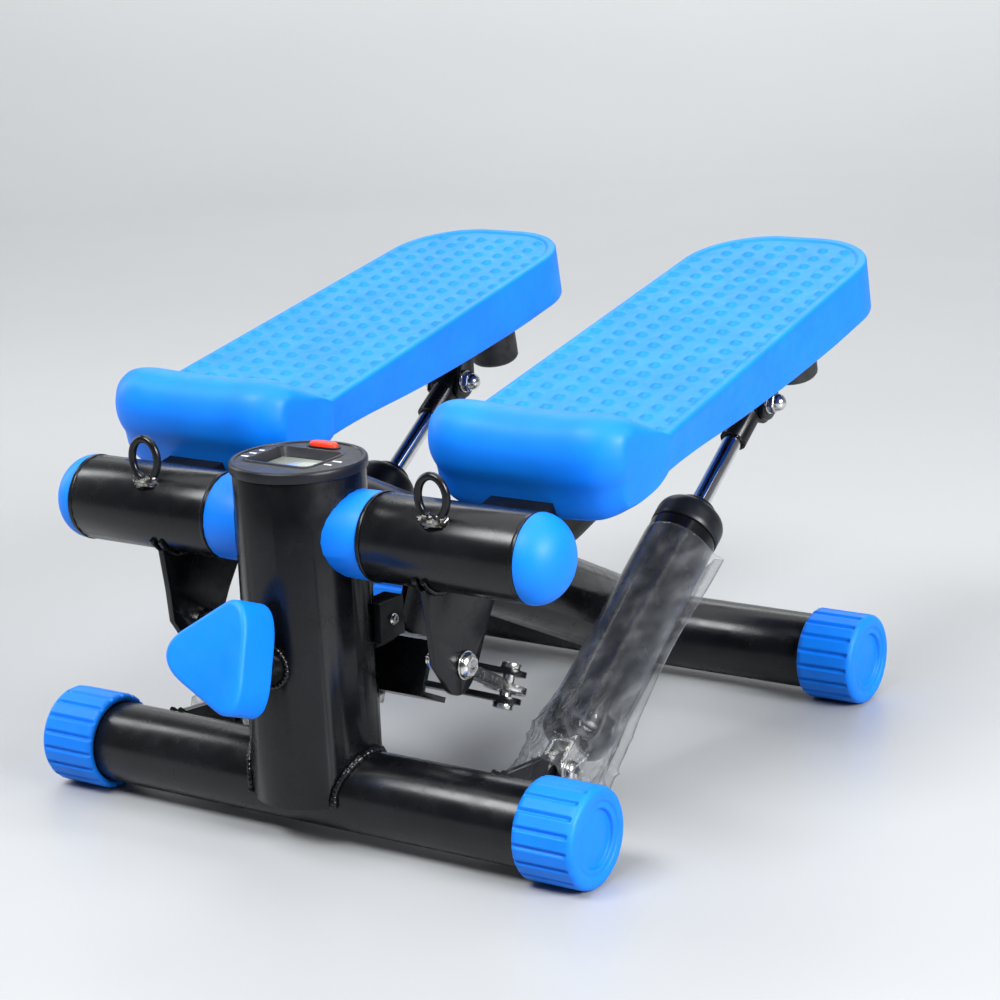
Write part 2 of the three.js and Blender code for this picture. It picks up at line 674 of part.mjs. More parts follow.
// Rocker: a double plate, swept to the rear, that turns about a bolt square to the main beam. In its
// frame y runs down along the beam and z is the bolt's axis.
function rocker() {
  const frame = frameAt(stepper, [0, ROCKER_Y, ROCKER_Z], -BEAM_SLOPE);
  const inner = TONGUE_GAP / 2;
  const plan = outline([
    [0, -14],
    [46, -13],
    [ROCKER_REACH, ROCKER_SWEEP, TONGUE_R, -Math.PI * 0.42, Math.PI * 0.5],
    [46, 14],
    [-46, 14],
    [-ROCKER_REACH, ROCKER_SWEEP, TONGUE_R, Math.PI * 0.5, Math.PI * 1.42],
    [-46, -13],
  ]);
  const body = cut(
    join(
      cut(box([-46, -14, -17], [46, 14, 17]), box([-50, -10, -13.5], [50, 20, 13.5])),
      planPlate(plan, inner, inner + PLATE),
      planPlate(plan, -inner - PLATE, -inner),
      rodZ(11, -17, 17),
    ),
    rodZ(PIVOT_R + GAP, -40, 40),
    rodZ(4 + GAP, -40, 40, ROCKER_REACH, ROCKER_SWEEP, SMALL),
    rodZ(4 + GAP, -40, 40, -ROCKER_REACH, ROCKER_SWEEP, SMALL),
  );
  const turning = frameAt(frame, [0, 0, 0]);
  turning.rotation.z = ROCKER_RATIO * LEAN;
  add(turning, "rocker_arm", body, blackPaint());
  const pinProfile = [
    [0, -inner - PLATE - 4],
    [6.5, -inner - PLATE - 4],
    [6.5, -inner - PLATE - GAP],
    [4, -inner - PLATE - GAP],
    [4, inner + PLATE + GAP],
    [6.5, inner + PLATE + GAP],
    [6.5, inner + PLATE + 4],
    [0, inner + PLATE + 4],
  ];
  for (const [side, sign] of SIDES) {
    const pin = alongZ(turned(pinProfile, SMALL));
    add(turning, `rocker_pin_${side}`, pin, zinc(), [sign * ROCKER_REACH, ROCKER_SWEEP, 0]);
  }

  const beamDrop = (BEAM_TOP_Z - ROCKER_Z) * Math.cos(BEAM_SLOPE) - ROCKER_Y * Math.sin(BEAM_SLOPE);
  const beamHole = solidOf(turned(rod(BEAM_R + GAP, -120, 120), ROUND)).translate([0, 0, beamDrop]);
  const top = beamDrop - 8;
  const cheek = outline([
    [-37, top],
    [-37, 35],
    [-21, 35, 16, Math.PI, 2 * Math.PI],
    [15, 24],
    [15, top],
  ]);
  const bracket = cut(
    join(
      sidePlate(cheek, -37, -33),
      sidePlate(cheek, 33, 37),
      box([-35, -20, 20], [35, 13, 24]),
      box([-35, -20, top - 14], [35, 13, top - 1]),
    ),
    beamHole,
    rodZ(PIVOT_R + GAP, -40, 40),
  );
  add(frame, "rocker_bracket", bracket, blackPaint());
  const bolt = turned(
    [
      [0, -24],
      [9.5, -24],
      [9.5, -17 - GAP],
      [PIVOT_R, -17 - GAP],
      [PIVOT_R, 24 + GAP],
      [9.5, 24 + GAP],
      [9.5, 30],
      [0, 30],
    ],
    SMALL,
  );
  add(frame, "rocker_pivot_bolt", alongZ(bolt), zinc());
}

// A point of an arm, given in the level pose, once the arm on that side has leaned.
function leaned(y, z, sign) {
  const turn = sign * LEAN;
  const dy = y - AXLE_Y;
  const dz = z - AXLE_Z;
  return [
    AXLE_Y + dy * Math.cos(turn) - dz * Math.sin(turn),
    AXLE_Z + dy * Math.sin(turn) + dz * Math.cos(turn),
  ];
}

// Link: a bar from the lever's bolt to the rocker's tongue, twisted so that its flat eye lies between the
// tongues. In its frame y runs towards the rocker. The eye's hole is wide and a little off centre, since
// the rocker's pin moves in a tilted plane and the link in an upright one.
function link(side, sign) {
  const [leverY, leverZ] = leaned(LEVER_Y, LEVER_Z, sign);
  const back = ROCKER_SWEEP + sign * ROCKER_REACH * Math.sin(ROCKER_RATIO * LEAN) + EYE_SHIFT_ALONG;
  const y = ROCKER_Y + back * Math.cos(BEAM_SLOPE) + EYE_SHIFT_ACROSS * Math.sin(BEAM_SLOPE);
  const z = ROCKER_Z - back * Math.sin(BEAM_SLOPE) + EYE_SHIFT_ACROSS * Math.cos(BEAM_SLOPE);
  const tilt = Math.atan2(z - leverZ, y - leverY);
  const length = Math.hypot(z - leverZ, y - leverY);
  const frame = frameAt(stepper, [0, leverY, leverZ], tilt);
  const inside = LEVER_X + LINK_IN;
  const outside = LEVER_X - LEVER_HALF - GAP;
  const eyeX = ROCKER_REACH + EYE_SHIFT_X;
  const bar = cut(
    join(
      rodX(9, inside, outside),
      box([inside + 0.5, 0, -3.5], [outside - 0.5, length - 16, 3.5]),
      box([inside + 0.5, length - 20, -2], [outside - 0.5, length, 2]),
      rodZ(EYE_R, -2, 2, eyeX, length),
    ),
    rodX(LEVER_BOLT_R + GAP, 0, 120, 0, 0, SMALL),
    rodZ(EYE_HOLE_R, -10, 10, eyeX, length, SMALL),
  );
  add(frame, `rocker_link_${side}`, sign > 0 ? bar : bar.mirror([1, 0, 0]), zinc());
}

// Cylinder: a barrel pinned over a gusset behind the front foot tube, and a rod up to the pedal arm. Its
// frame has y along the rod. The eye of the rod is wide and a little behind the arm's pin, which moves
// round the axle while the eye keeps to the rod's line.
const GUSSET_HALF = 3;
const LUG_OUTER = 8.5;

function cylinderBase(side, sign) {
  const plate = outline([
    [16, 50],
    [16, 12],
    [BASE_Y, BASE_Z, 11, -Math.PI * 0.6, Math.PI * 0.42],
  ]);
  const body = cut(
    sidePlate(plate, -GUSSET_HALF, GUSSET_HALF),
    rodX(FOOT_R + GAP, -60, 60, 0, FOOT_Z, ROUND),
    rodX(BASE_R + GAP, -60, 60, BASE_Y, BASE_Z, SMALL),
  );
  add(stepper, `cylinder_gusset_${side}`, body, blackPaint(), [sign * PEDAL_X, 0, 0]);
  const bolt = crossBolt(BASE_R, LUG_OUTER + GAP, -LUG_OUTER - GAP - 1.5 * BASE_R, 6.5, sign);
  add(stepper, `cylinder_base_bolt_${side}`, bolt, zinc(), [sign * PEDAL_X, BASE_Y, BASE_Z]);
}

function cylinder(side, sign) {
  const [pinY, pinZ] = leaned(PIN_Y, PIN_Z, sign);
  const eyeY = pinY + ROD_EYE_SHIFT_Y - BASE_Y;
  const eyeZ = pinZ + ROD_EYE_SHIFT_Z - BASE_Z;
  const span = Math.hypot(eyeY, eyeZ);
  const frame = frameAt(stepper, [sign * PEDAL_X, BASE_Y, BASE_Z], Math.atan2(eyeZ, eyeY));
  const inner = BARREL_R - BARREL_WALL;
  const shell = turned([
    [0, BARREL_START],
    [13, BARREL_START],
    [BARREL_R - 3, BARREL_START + 3],
    [BARREL_R, BARREL_START + 9],
    [BARREL_R, BARREL_END],
    [inner, BARREL_END],
    [inner, BARREL_START + 9],
    [0, BARREL_START + 9],
  ]);
  add(frame, `cylinder_barrel_${side}`, shell, blackPaint());
  const lugEnd = BARREL_START - GAP;
  const lug = (from, to) => join(rodX(10, from, to), box([from, 0, -10], [to, lugEnd, 10]));
  const clevis = cut(
    join(
      lug(-LUG_OUTER, -LUG_OUTER + 3.5),
      lug(LUG_OUTER - 3.5, LUG_OUTER),
      box([-LUG_OUTER, lugEnd - 4, -10], [LUG_OUTER, lugEnd, 10]),
    ),
    rodX(BASE_R + GAP, -20, 20, 0, 0, SMALL),
  );
  add(frame, `cylinder_clevis_${side}`, clevis, zinc());
  const head = turned([
    [ROD_R + GAP, BARREL_END + GAP],
    [BARREL_R + 0.8, BARREL_END + GAP],
    [BARREL_R + 0.8, HEAD_END - 11],
    [BARREL_R - 3, HEAD_END - 5],
    [13, HEAD_END - 3],
    [11, HEAD_END],
    [ROD_R + GAP, HEAD_END],
    [ROD_R + GAP, BARREL_END + GAP],
  ]);
  add(frame, `cylinder_head_${side}`, head, blackPlastic());
  const film = turned(pipe(BARREL_R + 1.4, BARREL_R + 0.4, BARREL_START + 10, BARREL_END - 4), 16);
  add(frame, `film_wrap_${side}`, film, finish(0xdfe6ee, 0.2, 0));
  const rodStart = span - ROD_LENGTH;
  const rodEnd = span - EYE_NECK;
  const piston = [
    [0, rodStart],
    [inner - GAP, rodStart],
    [inner - GAP, rodStart + 14],
    [ROD_R, rodStart + 14],
    [ROD_R, rodEnd],
    [0, rodEnd],
  ];
  add(frame, `piston_rod_${side}`, turned(piston), chrome());
  const eyeHalf = EAR_OUTER - ARM_WALL - 1;
  const eye = cut(
    join(
      rodX(ROD_EYE_R, -eyeHalf, eyeHalf, span, 0),
      solidOf(turned(rod(9, rodEnd - 4, span - 8), 16)),
    ),
    solidOf(turned(rod(ROD_R + GAP, rodEnd - 20, rodEnd + GAP), 16)),
    rodX(ROD_EYE_HOLE_R, -40, 40, span, 0, 16),
  );
  add(frame, `rod_end_${side}`, eye, blackPaint());
}

feet();
post();
mainBeam();
consoleUnit();
counterSensor();
knob();
axle();
rocker();
for (const [side, sign] of SIDES) {
  pedalArm(side, sign);
  link(side, sign);
  cylinderBase(side, sign);
  cylinder(side, sign);
}

// The origin: the centre of the footprint of the whole stepper, on the floor.
stepper.updateMatrixWorld(true);
const bounds = new THREE.Box3().setFromObject(stepper, true);
stepper.position.y = -(bounds.min.y + bounds.max.y) / 2;

export default stepper;
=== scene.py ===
# Looks of the twist stepper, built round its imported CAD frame. Local shapes are in millimetres, +Z up, with
# y = 0 on the axis of the front foot tube; STEPPER turns them into the frame's metres.
from math import atan2, copysign, cos, exp, hypot, pi, radians, sin, sqrt, tan

import bmesh
import bpy
import numpy as np
from mathutils import Matrix, Vector, noise


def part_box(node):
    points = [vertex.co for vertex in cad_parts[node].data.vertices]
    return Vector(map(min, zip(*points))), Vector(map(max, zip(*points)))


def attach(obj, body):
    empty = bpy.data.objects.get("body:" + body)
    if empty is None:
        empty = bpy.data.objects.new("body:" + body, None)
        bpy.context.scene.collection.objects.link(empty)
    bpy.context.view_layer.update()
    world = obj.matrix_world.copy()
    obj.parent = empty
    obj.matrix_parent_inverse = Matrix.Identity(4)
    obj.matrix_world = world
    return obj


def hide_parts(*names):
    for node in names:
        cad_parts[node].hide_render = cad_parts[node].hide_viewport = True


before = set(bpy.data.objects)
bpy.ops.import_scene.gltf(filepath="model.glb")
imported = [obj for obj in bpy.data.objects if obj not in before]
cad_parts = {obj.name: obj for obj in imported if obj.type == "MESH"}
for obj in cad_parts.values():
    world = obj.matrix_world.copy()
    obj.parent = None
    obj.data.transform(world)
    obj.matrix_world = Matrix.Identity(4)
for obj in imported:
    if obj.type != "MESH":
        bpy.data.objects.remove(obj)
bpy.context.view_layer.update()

MM = 0.001
low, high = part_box("front_foot_tube")
SHIFT_Y = (low.y + high.y) / 2
FOOT_Z = (low.z + high.z) / 2 / MM
STEPPER = Matrix.Translation((0, SHIFT_Y, 0)) @ Matrix.Scale(MM, 4)
SIDES = (("right", 1), ("left", -1))


def placed(x=0, y=0, z=0, tilt=0.0, parent=STEPPER):
    """A local frame at a point, tilted about X."""
    return parent @ Matrix.Translation((x, y, z)) @ Matrix.Rotation(tilt, 4, "X")


def add(name, data):
    made = bpy.data.objects.new(name, data)
    bpy.context.scene.collection.objects.link(made)
    return made


# Camera and light --------
CAMERA_AT = (920.0, -1169.3, 596.8)
CAMERA_AZIMUTH = radians(33.75)
CAMERA_ELEVATION = radians(15.02)
CAMERA_ROLL = radians(2.47)
CAMERA_LENS, SENSOR_WIDTH = 95.33, 36


def make_camera():
    a, e, roll = CAMERA_AZIMUTH, CAMERA_ELEVATION, CAMERA_ROLL
    forward = Vector((-sin(a) * cos(e), cos(a) * cos(e), -sin(e)))
    right = Vector((cos(a), sin(a), 0))
    down = Vector((sin(e) * sin(a), -sin(e) * cos(a), -cos(e)))
    x = cos(roll) * right + sin(roll) * down
    y = sin(roll) * right - cos(roll) * down
    turn = Matrix((x, y, -forward)).transposed().to_4x4()
    data = bpy.data.cameras.new("camera")
    data.lens = CAMERA_LENS
    data.sensor_width = SENSOR_WIDTH
    camera = add("camera", data)
    camera.matrix_world = Matrix.Translation(STEPPER @ Vector(CAMERA_AT)) @ turn
    bpy.context.scene.camera = camera


def area_light(name, at, target, width, height, watts, colour):
    data = bpy.data.lights.new(name, "AREA")
    data.shape = "RECTANGLE"
    data.size = width
    data.size_y = height
    data.energy = watts
    data.color = colour
    light = add(name, data)
    aim = (Vector(target) - Vector(at)).to_track_quat("-Z", "Y")
    light.matrix_world = Matrix.Translation(at) @ aim.to_matrix().to_4x4()


# Materials --------
class Finish:
    """A material whose colour, roughness and bump come from noise in the object's own space."""

    def __init__(self, name):
        self.material = bpy.data.materials.new(name)
        self.material.use_nodes = True
        self.nodes = self.material.node_tree.nodes
        self.links = self.material.node_tree.links
        self.shader = self.nodes["Principled BSDF"]
        self.coords = self.nodes.new("ShaderNodeTexCoord").outputs["Object"]
        self.normal = None

    def set(self, **values):
        for key, value in values.items():
            self.shader.inputs[key.replace("_", " ")].default_value = value

    def noise(self, size, detail, stretch=(1, 1, 1)):
        """Noise whose features are about size millimetres across, longer along an axis by its stretch."""
        mapping = self.nodes.new("ShaderNodeMapping")
        mapping.inputs["Scale"].default_value = [1 / s for s in stretch]
        self.links.new(self.coords, mapping.inputs["Vector"])
        texture = self.nodes.new("ShaderNodeTexNoise")
        texture.inputs["Scale"].default_value = 1 / (size * MM)
        texture.inputs["Detail"].default_value = detail
        self.links.new(mapping.outputs["Vector"], texture.inputs["Vector"])
        return texture.outputs["Fac"]

    def cells(self, size):
        """Distance from the nearest of scattered points about size millimetres apart."""
        texture = self.nodes.new("ShaderNodeTexVoronoi")
        texture.inputs["Scale"].default_value = 1 / (size * MM)
        self.links.new(self.coords, texture.inputs["Vector"])
        return texture.outputs["Distance"]

    def remap(self, value, low_in, high_in, low_out, high_out):
        node = self.nodes.new("ShaderNodeMapRange")
        for socket, number in zip(node.inputs[1:5], (low_in, high_in, low_out, high_out)):
            socket.default_value = number
        self.links.new(value, node.inputs["Value"])
        return node.outputs["Result"]

    def blend(self, factor, first, second, low_in=0.35, high_in=0.65):
        """Goes from first to second with the factor. Each is a colour or an earlier blend."""
        mix = self.nodes.new("ShaderNodeMix")
        mix.data_type = "RGBA"
        self.links.new(self.remap(factor, low_in, high_in, 0, 1), mix.inputs["Factor"])
        for socket, colour in (("A", first), ("B", second)):
            found = [s for s in mix.inputs if s.name == socket and s.type == "RGBA"][0]
            if isinstance(colour, tuple):
                found.default_value = (*colour, 1)
            else:
                self.links.new(colour, found)
        return [s for s in mix.outputs if s.type == "RGBA"][0]

    def colour(self, socket):
        self.links.new(socket, self.shader.inputs["Base Color"])

    def rough(self, factor, smooth, dull):
        self.links.new(self.remap(factor, 0.3, 0.7, smooth, dull), self.shader.inputs["Roughness"])

    def bump(self, height, depth):
        """Adds relief: depth in millimetres over the factor's whole range."""
        node = self.nodes.new("ShaderNodeBump")
        node.inputs["Strength"].default_value = 1.0
        node.inputs["Distance"].default_value = depth * MM
        self.links.new(height, node.inputs["Height"])
        if self.normal:
            self.links.new(self.normal, node.inputs["Normal"])
        self.normal = node.outputs["Normal"]
        self.links.new(self.normal, self.shader.inputs["Normal"])
        return self


def plastic(name, dark, light, smooth, dull, grain):
    """Moulded plastic: slow colour drift, spark-eroded grain and faint rub marks."""
    f = Finish(name)
    f.colour(f.blend(f.noise(38, 4), dark, light))
    f.rough(f.noise(9, 5), smooth, dull)
    f.bump(f.noise(0.55, 2), grain).bump(f.noise(14, 2), 0.12)
    f.bump(f.noise(1.2, 3, (1, 14, 1)), 0.012)
    f.set(Specular_IOR_Level=0.3)
    return f.material


def paint(name, dark, light, smooth, dull):
    """Stoved black paint: orange peel, pinhead nibs and a dusting of lint."""
    f = Finish(name)
    specks = f.remap(f.cells(9), 0.0, 0.035, 0.6, 0)
    base = f.blend(f.noise(26, 5), dark, light)
    f.colour(f.blend(specks, base, (0.11, 0.115, 0.12), 0, 1))
    f.rough(f.noise(12, 6), smooth, dull)
    f.bump(f.noise(2.6, 1), 0.018).bump(f.noise(0.7, 2), 0.006)
    f.bump(f.remap(f.cells(14), 0, 0.05, 1, 0), 0.03)
    f.set(Specular_IOR_Level=0.36)
    return f.material


def metal(name, first, second, smooth, dull, grain, stretch=(1, 1, 1)):
    """Plated steel: cloudy tint, fine grain that may run along one axis, and small pits."""
    f = Finish(name)
    f.colour(f.blend(f.noise(5, 5), first, second))
    f.rough(f.noise(3, 5, stretch), smooth, dull)
    f.bump(f.noise(0.35, 3, stretch), grain).bump(f.noise(4, 2), 0.02)
    f.set(Metallic=1.0)
    return f.material


def rubber(name):
    f = Finish(name)
    f.colour(f.blend(f.noise(7, 5), (0.012, 0.012, 0.013), (0.03, 0.03, 0.031)))
    f.rough(f.noise(4, 4), 0.5, 0.72)
    f.bump(f.noise(0.8, 3), 0.05).bump(f.noise(9, 2), 0.15)
    return f.material


def display(name):
    """Liquid crystal display under a clear window: a grey-green field with its fine electrode grid."""
    f = Finish(name)
    f.colour(f.blend(f.noise(16, 2), (0.27, 0.30, 0.27), (0.36, 0.385, 0.35)))
    f.rough(f.noise(6, 4), 0.1, 0.2)
    f.bump(f.noise(0.5, 1), 0.004)
    f.set(Coat_Weight=0.8, Coat_Roughness=0.05)
    return f.material


def clear_film(name):
    """Thin crumpled polythene: nearly clear face on, milky along its edges, with lighter streaks along
    creases that are partly whitened folds and partly painted glints.
    """
    f = Finish(name)
    facing = f.nodes.new("ShaderNodeLayerWeight")
    facing.inputs["Blend"].default_value = 0.35
    # Crease streaks: lighter colour and a little more opacity, partly whitened folds and partly painted
    # glints.
    crease_and_glint_streaks = f.noise(9, 5, (1, 4, 1))
    f.colour(f.blend(crease_and_glint_streaks, (0.12, 0.13, 0.15), (0.34, 0.35, 0.37)))
    f.rough(crease_and_glint_streaks, 0.05, 0.16)
    f.bump(f.noise(9, 2, (1, 6, 1)), 0.35).bump(f.noise(1.4, 2), 0.01)
    edge = f.remap(facing.outputs["Facing"], 0.1, 1.0, 0.06, 0.6)
    # Extra opacity on the crease streaks: partly whitened folds, partly painted glints.
    crease_and_glint_haze = f.remap(crease_and_glint_streaks, 0.55, 0.85, 0.0, 0.1)
    total = f.nodes.new("ShaderNodeMath")
    total.operation = "ADD"
    f.links.new(edge, total.inputs[0])
    f.links.new(crease_and_glint_haze, total.inputs[1])
    f.links.new(total.outputs["Value"], f.shader.inputs["Alpha"])
    f.set(Specular_IOR_Level=1.0)
    return f.material


def backdrop(name):
    f = Finish(name)
    f.colour(f.blend(f.noise(900, 2), (0.36, 0.37, 0.378), (0.38, 0.388, 0.395)))
    f.rough(f.noise(400, 3), 0.34, 0.42)
    f.bump(f.noise(2.5, 3), 0.03)
    f.set(Specular_IOR_Level=0.35)
    return f.material


LOOKS = {
    name: make(name, *values)
    for name, make, *values in (
        ("blue_plastic", plastic, (0.0, 0.175, 0.78), (0.0, 0.198, 0.84), 0.44, 0.56, 0.012),
        ("black_plastic", plastic, (0.005, 0.0058, 0.0078), (0.0095, 0.0105, 0.014), 0.3, 0.42, 0.012),
        ("red_plastic", plastic, (0.78, 0.03, 0.012), (0.95, 0.05, 0.015), 0.3, 0.42, 0.02),
        ("black_paint", paint, (0.002, 0.0023, 0.003), (0.0045, 0.005, 0.0066), 0.2, 0.3),
        ("zinc", metal, (0.62, 0.63, 0.64), (0.78, 0.77, 0.72), 0.16, 0.3, 0.002),
        ("chrome", metal, (0.74, 0.75, 0.77), (0.82, 0.83, 0.85), 0.04, 0.11, 0.002, (1, 6, 6)),
        ("rubber", rubber),
        ("lens", display),
        ("circuit", plastic, (0.01, 0.12, 0.04), (0.02, 0.2, 0.07), 0.35, 0.5, 0.05),
        ("film", clear_film),
        ("weld", metal, (0.03, 0.03, 0.03), (0.30, 0.29, 0.28), 0.12, 0.35, 0.03),
        ("mark", plastic, (0.62, 0.64, 0.66), (0.74, 0.75, 0.77), 0.4, 0.6, 0.02),
        ("backdrop", backdrop),
    )
}


# Mesh making --------
def piece(name, parts, at, look, body, replaces=(), sharp=38):
    """One object from (points, polygons) parts in the frame at, riding on a CAD body.

    Edges that turn by more than sharp degrees stay sharp.
    """
    points, polygons = [], []
    for some_points, some_polygons in parts:
        start = len(points)
        points.extend(at @ Vector(p) for p in some_points)
        polygons.extend([start + i for i in polygon] for polygon in some_polygons)
    mesh = bpy.data.meshes.new(name)
    mesh.from_pydata(points, [], polygons)
    shell = bmesh.new()
    shell.from_mesh(mesh)
    bmesh.ops.remove_doubles(shell, verts=shell.verts, dist=1e-7)
    bmesh.ops.recalc_face_normals(shell, faces=shell.faces)
    shell.to_mesh(mesh)
    shell.free()
    mesh.shade_smooth()
    mesh.set_sharp_from_angle(angle=radians(sharp))
    mesh.materials.append(LOOKS[look])
    made = add(name, mesh)
    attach(made, body)
    if replaces:
        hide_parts(*replaces)
    return made


def softened(points, radius, steps):
    """The closed outline with each corner rounded off by about radius."""
    rounded = []
    for i, corner in enumerate(points):
        here = np.array(corner, float)
        to_last = np.array(points[i - 1], float) - here
        to_next = np.array(points[(i + 1) % len(points)], float) - here
        cut = min(radius, 0.48 * np.linalg.norm(to_last), 0.48 * np.linalg.norm(to_next))
        a = here + to_last / np.linalg.norm(to_last) * cut
        b = here + to_next / np.linalg.norm(to_next) * cut
        for k in range(steps + 1):
            t = k / steps
            rounded.append(tuple((1 - t) ** 2 * a + 2 * t * (1 - t) * here + t * t * b))
    return rounded


def loops(rings, caps=True, ring_of_rings=False):
    """Quads between successive rings of points. caps closes the first and last with a polygon."""
    count, total = len(rings[0]), len(rings)
    polygons = []
    for k in range(total if ring_of_rings else total - 1):
        following = (k + 1) % total
        for i in range(count):
            j = (i + 1) % count
            polygons.append((k * count + i, k * count + j, following * count + j, following * count + i))
    if caps and not ring_of_rings:
        polygons.append(tuple(range(count)))
        polygons.append(tuple((total - 1) * count + i for i in range(count)))
    return [p for ring in rings for p in ring], polygons


def around(count, start=0.0):
    """Angles evenly round a circle, the first of them start steps in."""
    return [2 * pi * (i + start) / count for i in range(count)]


def arc(centre, radii, start, end, steps):
    """Points on an ellipse from the angle start to end, without the first."""
    angles = [start + (end - start) * k / steps for k in range(1, steps + 1)]
    return [(centre[0] + radii[0] * cos(a), centre[1] + radii[1] * sin(a)) for a in angles]


AXES = {
    "x": lambda u, v, h: (h, u, v),
    "y": lambda u, v, h: (v, h, u),
    "z": lambda u, v, h: (u, v, h),
}


def lathe(profile, axis, count, hollow=False, shape=None):
    """Turns (radius, height) points about an axis. shape may change a radius by angle and height."""
    swap = AXES[axis]
    rings = []
    for r, h in profile:
        ring = []
        for a in around(count):
            radius = shape(max(r, 1e-4), a, h) if shape else max(r, 1e-4)
            ring.append(swap(radius * cos(a), radius * sin(a), h))
        rings.append(ring)
    return loops(rings, ring_of_rings=hollow)


def moved(part, by):
    """A part moved along x."""
    points, polygons = part
    return [(x + by, y, z) for x, y, z in points], polygons


def mirrored(parts, sign):
    """Parts turned over in x when sign is -1."""
    return [([(sign * x, y, z) for x, y, z in points], polygons) for points, polygons in parts]


def prism(outline, axis, start, end, edge):
    """A plate between two heights with rounded edges. outline is a closed list of (u, v)."""
    swap = AXES[axis]
    flat = np.array(outline, float)
    area = np.sum(flat[:, 0] * np.roll(flat[:, 1], -1) - flat[:, 1] * np.roll(flat[:, 0], -1))
    forward = np.roll(flat, -1, 0) - flat
    forward /= np.linalg.norm(forward, axis=1)[:, None] + 1e-12
    backward = np.roll(forward, 1, 0)
    tangent = forward + backward
    tangent /= np.linalg.norm(tangent, axis=1)[:, None] + 1e-12
    inward = np.stack([-tangent[:, 1], tangent[:, 0]], 1) * (1 if area > 0 else -1)
    steps = [(edge, 0), (edge * 0.3, edge * 0.3), (0, edge)]
    rings = []
    for inset, rise in steps:
        rings.append([swap(*(p + n * inset), start + rise) for p, n in zip(flat, inward)])
    for inset, rise in reversed(steps):
        rings.append([swap(*(p + n * inset), end - rise) for p, n in zip(flat, inward)])
    return loops(rings)


def block(low_corner, high_corner, edge):
    (x0, y0, z0), (x1, y1, z1) = low_corner, high_corner
    corners = [(x0, y0), (x1, y0), (x1, y1), (x0, y1)]
    return prism(softened(corners, edge, 2), "z", z0, z1, edge)


def hexagon(across_flats, turn):
    r = across_flats / sqrt(3)
    return [(r * cos(turn + pi * i / 3), r * sin(turn + pi * i / 3)) for i in range(6)]


def tube(path, radius, count, closed=False):
    """A round bar along a path. radius is a number or one for each point."""
    path = [Vector(p) for p in path]
    total = len(path)
    radii = radius if hasattr(radius, "__len__") else [radius] * total
    rings = []
    side = None
    for i, p in enumerate(path):
        if closed:
            along = (path[(i + 1) % total] - path[i - 1]).normalized()
        else:
            along = (path[min(i + 1, total - 1)] - path[max(i - 1, 0)]).normalized()
        if side is None:
            side = along.orthogonal().normalized()
        side = (side - along * side.dot(along)).normalized()
        up = along.cross(side)
        rings.append([tuple(p + radii[i] * (side * cos(a) + up * sin(a))) for a in around(count)])
    return loops(rings, caps=not closed, ring_of_rings=closed)


def weld(path, radius, seed, closed=True):
    """A bead along a path, with the ripples and unevenness of a welder's passes."""
    radii = []
    travelled = 0.0
    for i, p in enumerate(path):
        travelled += (Vector(p) - Vector(path[i - 1])).length if i else 0
        ripple = 0.22 * abs(sin(travelled * 1.1))
        uneven = 0.35 * noise.noise(Vector(p) * 0.22 + Vector((seed, 0, 0)))
        radii.append(radius * (0.8 + ripple + uneven))
    return tube(path, radii, 10, closed)


def blob(at, size, seed):
    """A lump of weld metal."""
    rings = []
    for k in range(1, 10):
        polar = pi * k / 10
        ring = []
        for a in around(16):
            p = Vector((sin(polar) * cos(a), sin(polar) * sin(a), cos(polar)))
            lump = 1 + 0.45 * noise.noise(p * 2.1 + Vector((seed, seed, 0)))
            ring.append(tuple(Vector(at) + Vector([p[j] * size[j] * lump for j in range(3)])))
        rings.append(ring)
    return loops(rings)


def smooth_step(t):
    t = np.clip(t, 0, 1)
    return t * t * (3 - 2 * t)


# CAD nodes that keep their shape: bevelled edges and smooth shading by modifiers --------
def smoothing_group():
    """Geometry nodes: joins split vertices, then shades smooth except at sharp edges."""
    group = bpy.data.node_groups.new("smooth_shading", "GeometryNodeTree")
    group.interface.new_socket("Geometry", in_out="INPUT", socket_type="NodeSocketGeometry")
    group.interface.new_socket("Geometry", in_out="OUTPUT", socket_type="NodeSocketGeometry")
    nodes, links = group.nodes, group.links
    start, end = nodes.new("NodeGroupInput"), nodes.new("NodeGroupOutput")
    merge = nodes.new("GeometryNodeMergeByDistance")
    merge.inputs["Distance"].default_value = 1e-6
    faces = nodes.new("GeometryNodeSetShadeSmooth")
    edges = nodes.new("GeometryNodeSetShadeSmooth")
    edges.domain = "EDGE"
    edges.inputs["Shade Smooth"].default_value = False
    angle = nodes.new("GeometryNodeInputMeshEdgeAngle")
    over = nodes.new("FunctionNodeCompare")
    over.operation = "GREATER_THAN"
    over.inputs["B"].default_value = radians(35)
    links.new(start.outputs[0], merge.inputs["Geometry"])
    links.new(merge.outputs["Geometry"], faces.inputs["Geometry"])
    links.new(faces.outputs["Geometry"], edges.inputs["Geometry"])
    links.new(angle.outputs["Unsigned Angle"], over.inputs["A"])
    links.new(over.outputs["Result"], edges.inputs["Selection"])
    links.new(edges.outputs["Geometry"], end.inputs[0])
    return group


SMOOTHING = smoothing_group()


def keep(node, look, bevel):
    """A CAD node shown as it is, with a finish and softened edges."""
    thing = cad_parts[node]
    thing.data.materials.clear()
    thing.data.materials.append(LOOKS[look])
    joined = thing.modifiers.new("join", "WELD")
    joined.merge_threshold = 1e-6
    edge = thing.modifiers.new("edge", "BEVEL")
    edge.width = bevel * MM
    edge.segments = 2
    edge.limit_method = "ANGLE"
    edge.angle_limit = radians(42)
    shade = thing.modifiers.new("shade", "NODES")
    shade.node_group = SMOOTHING


# Feet --------
CAP_R, CAP_LENGTH, CAP_ROUND = 30.0, 40.0, 4.2
FLUTES, LAND, FLUTE_DEPTH, RUN_OUT = 18, 0.32, 1.8, 1.5
FOOT_R, FOOT_HALF, REAR_Y, POST_R = 25.0, 195.0, 348.0, 39.0


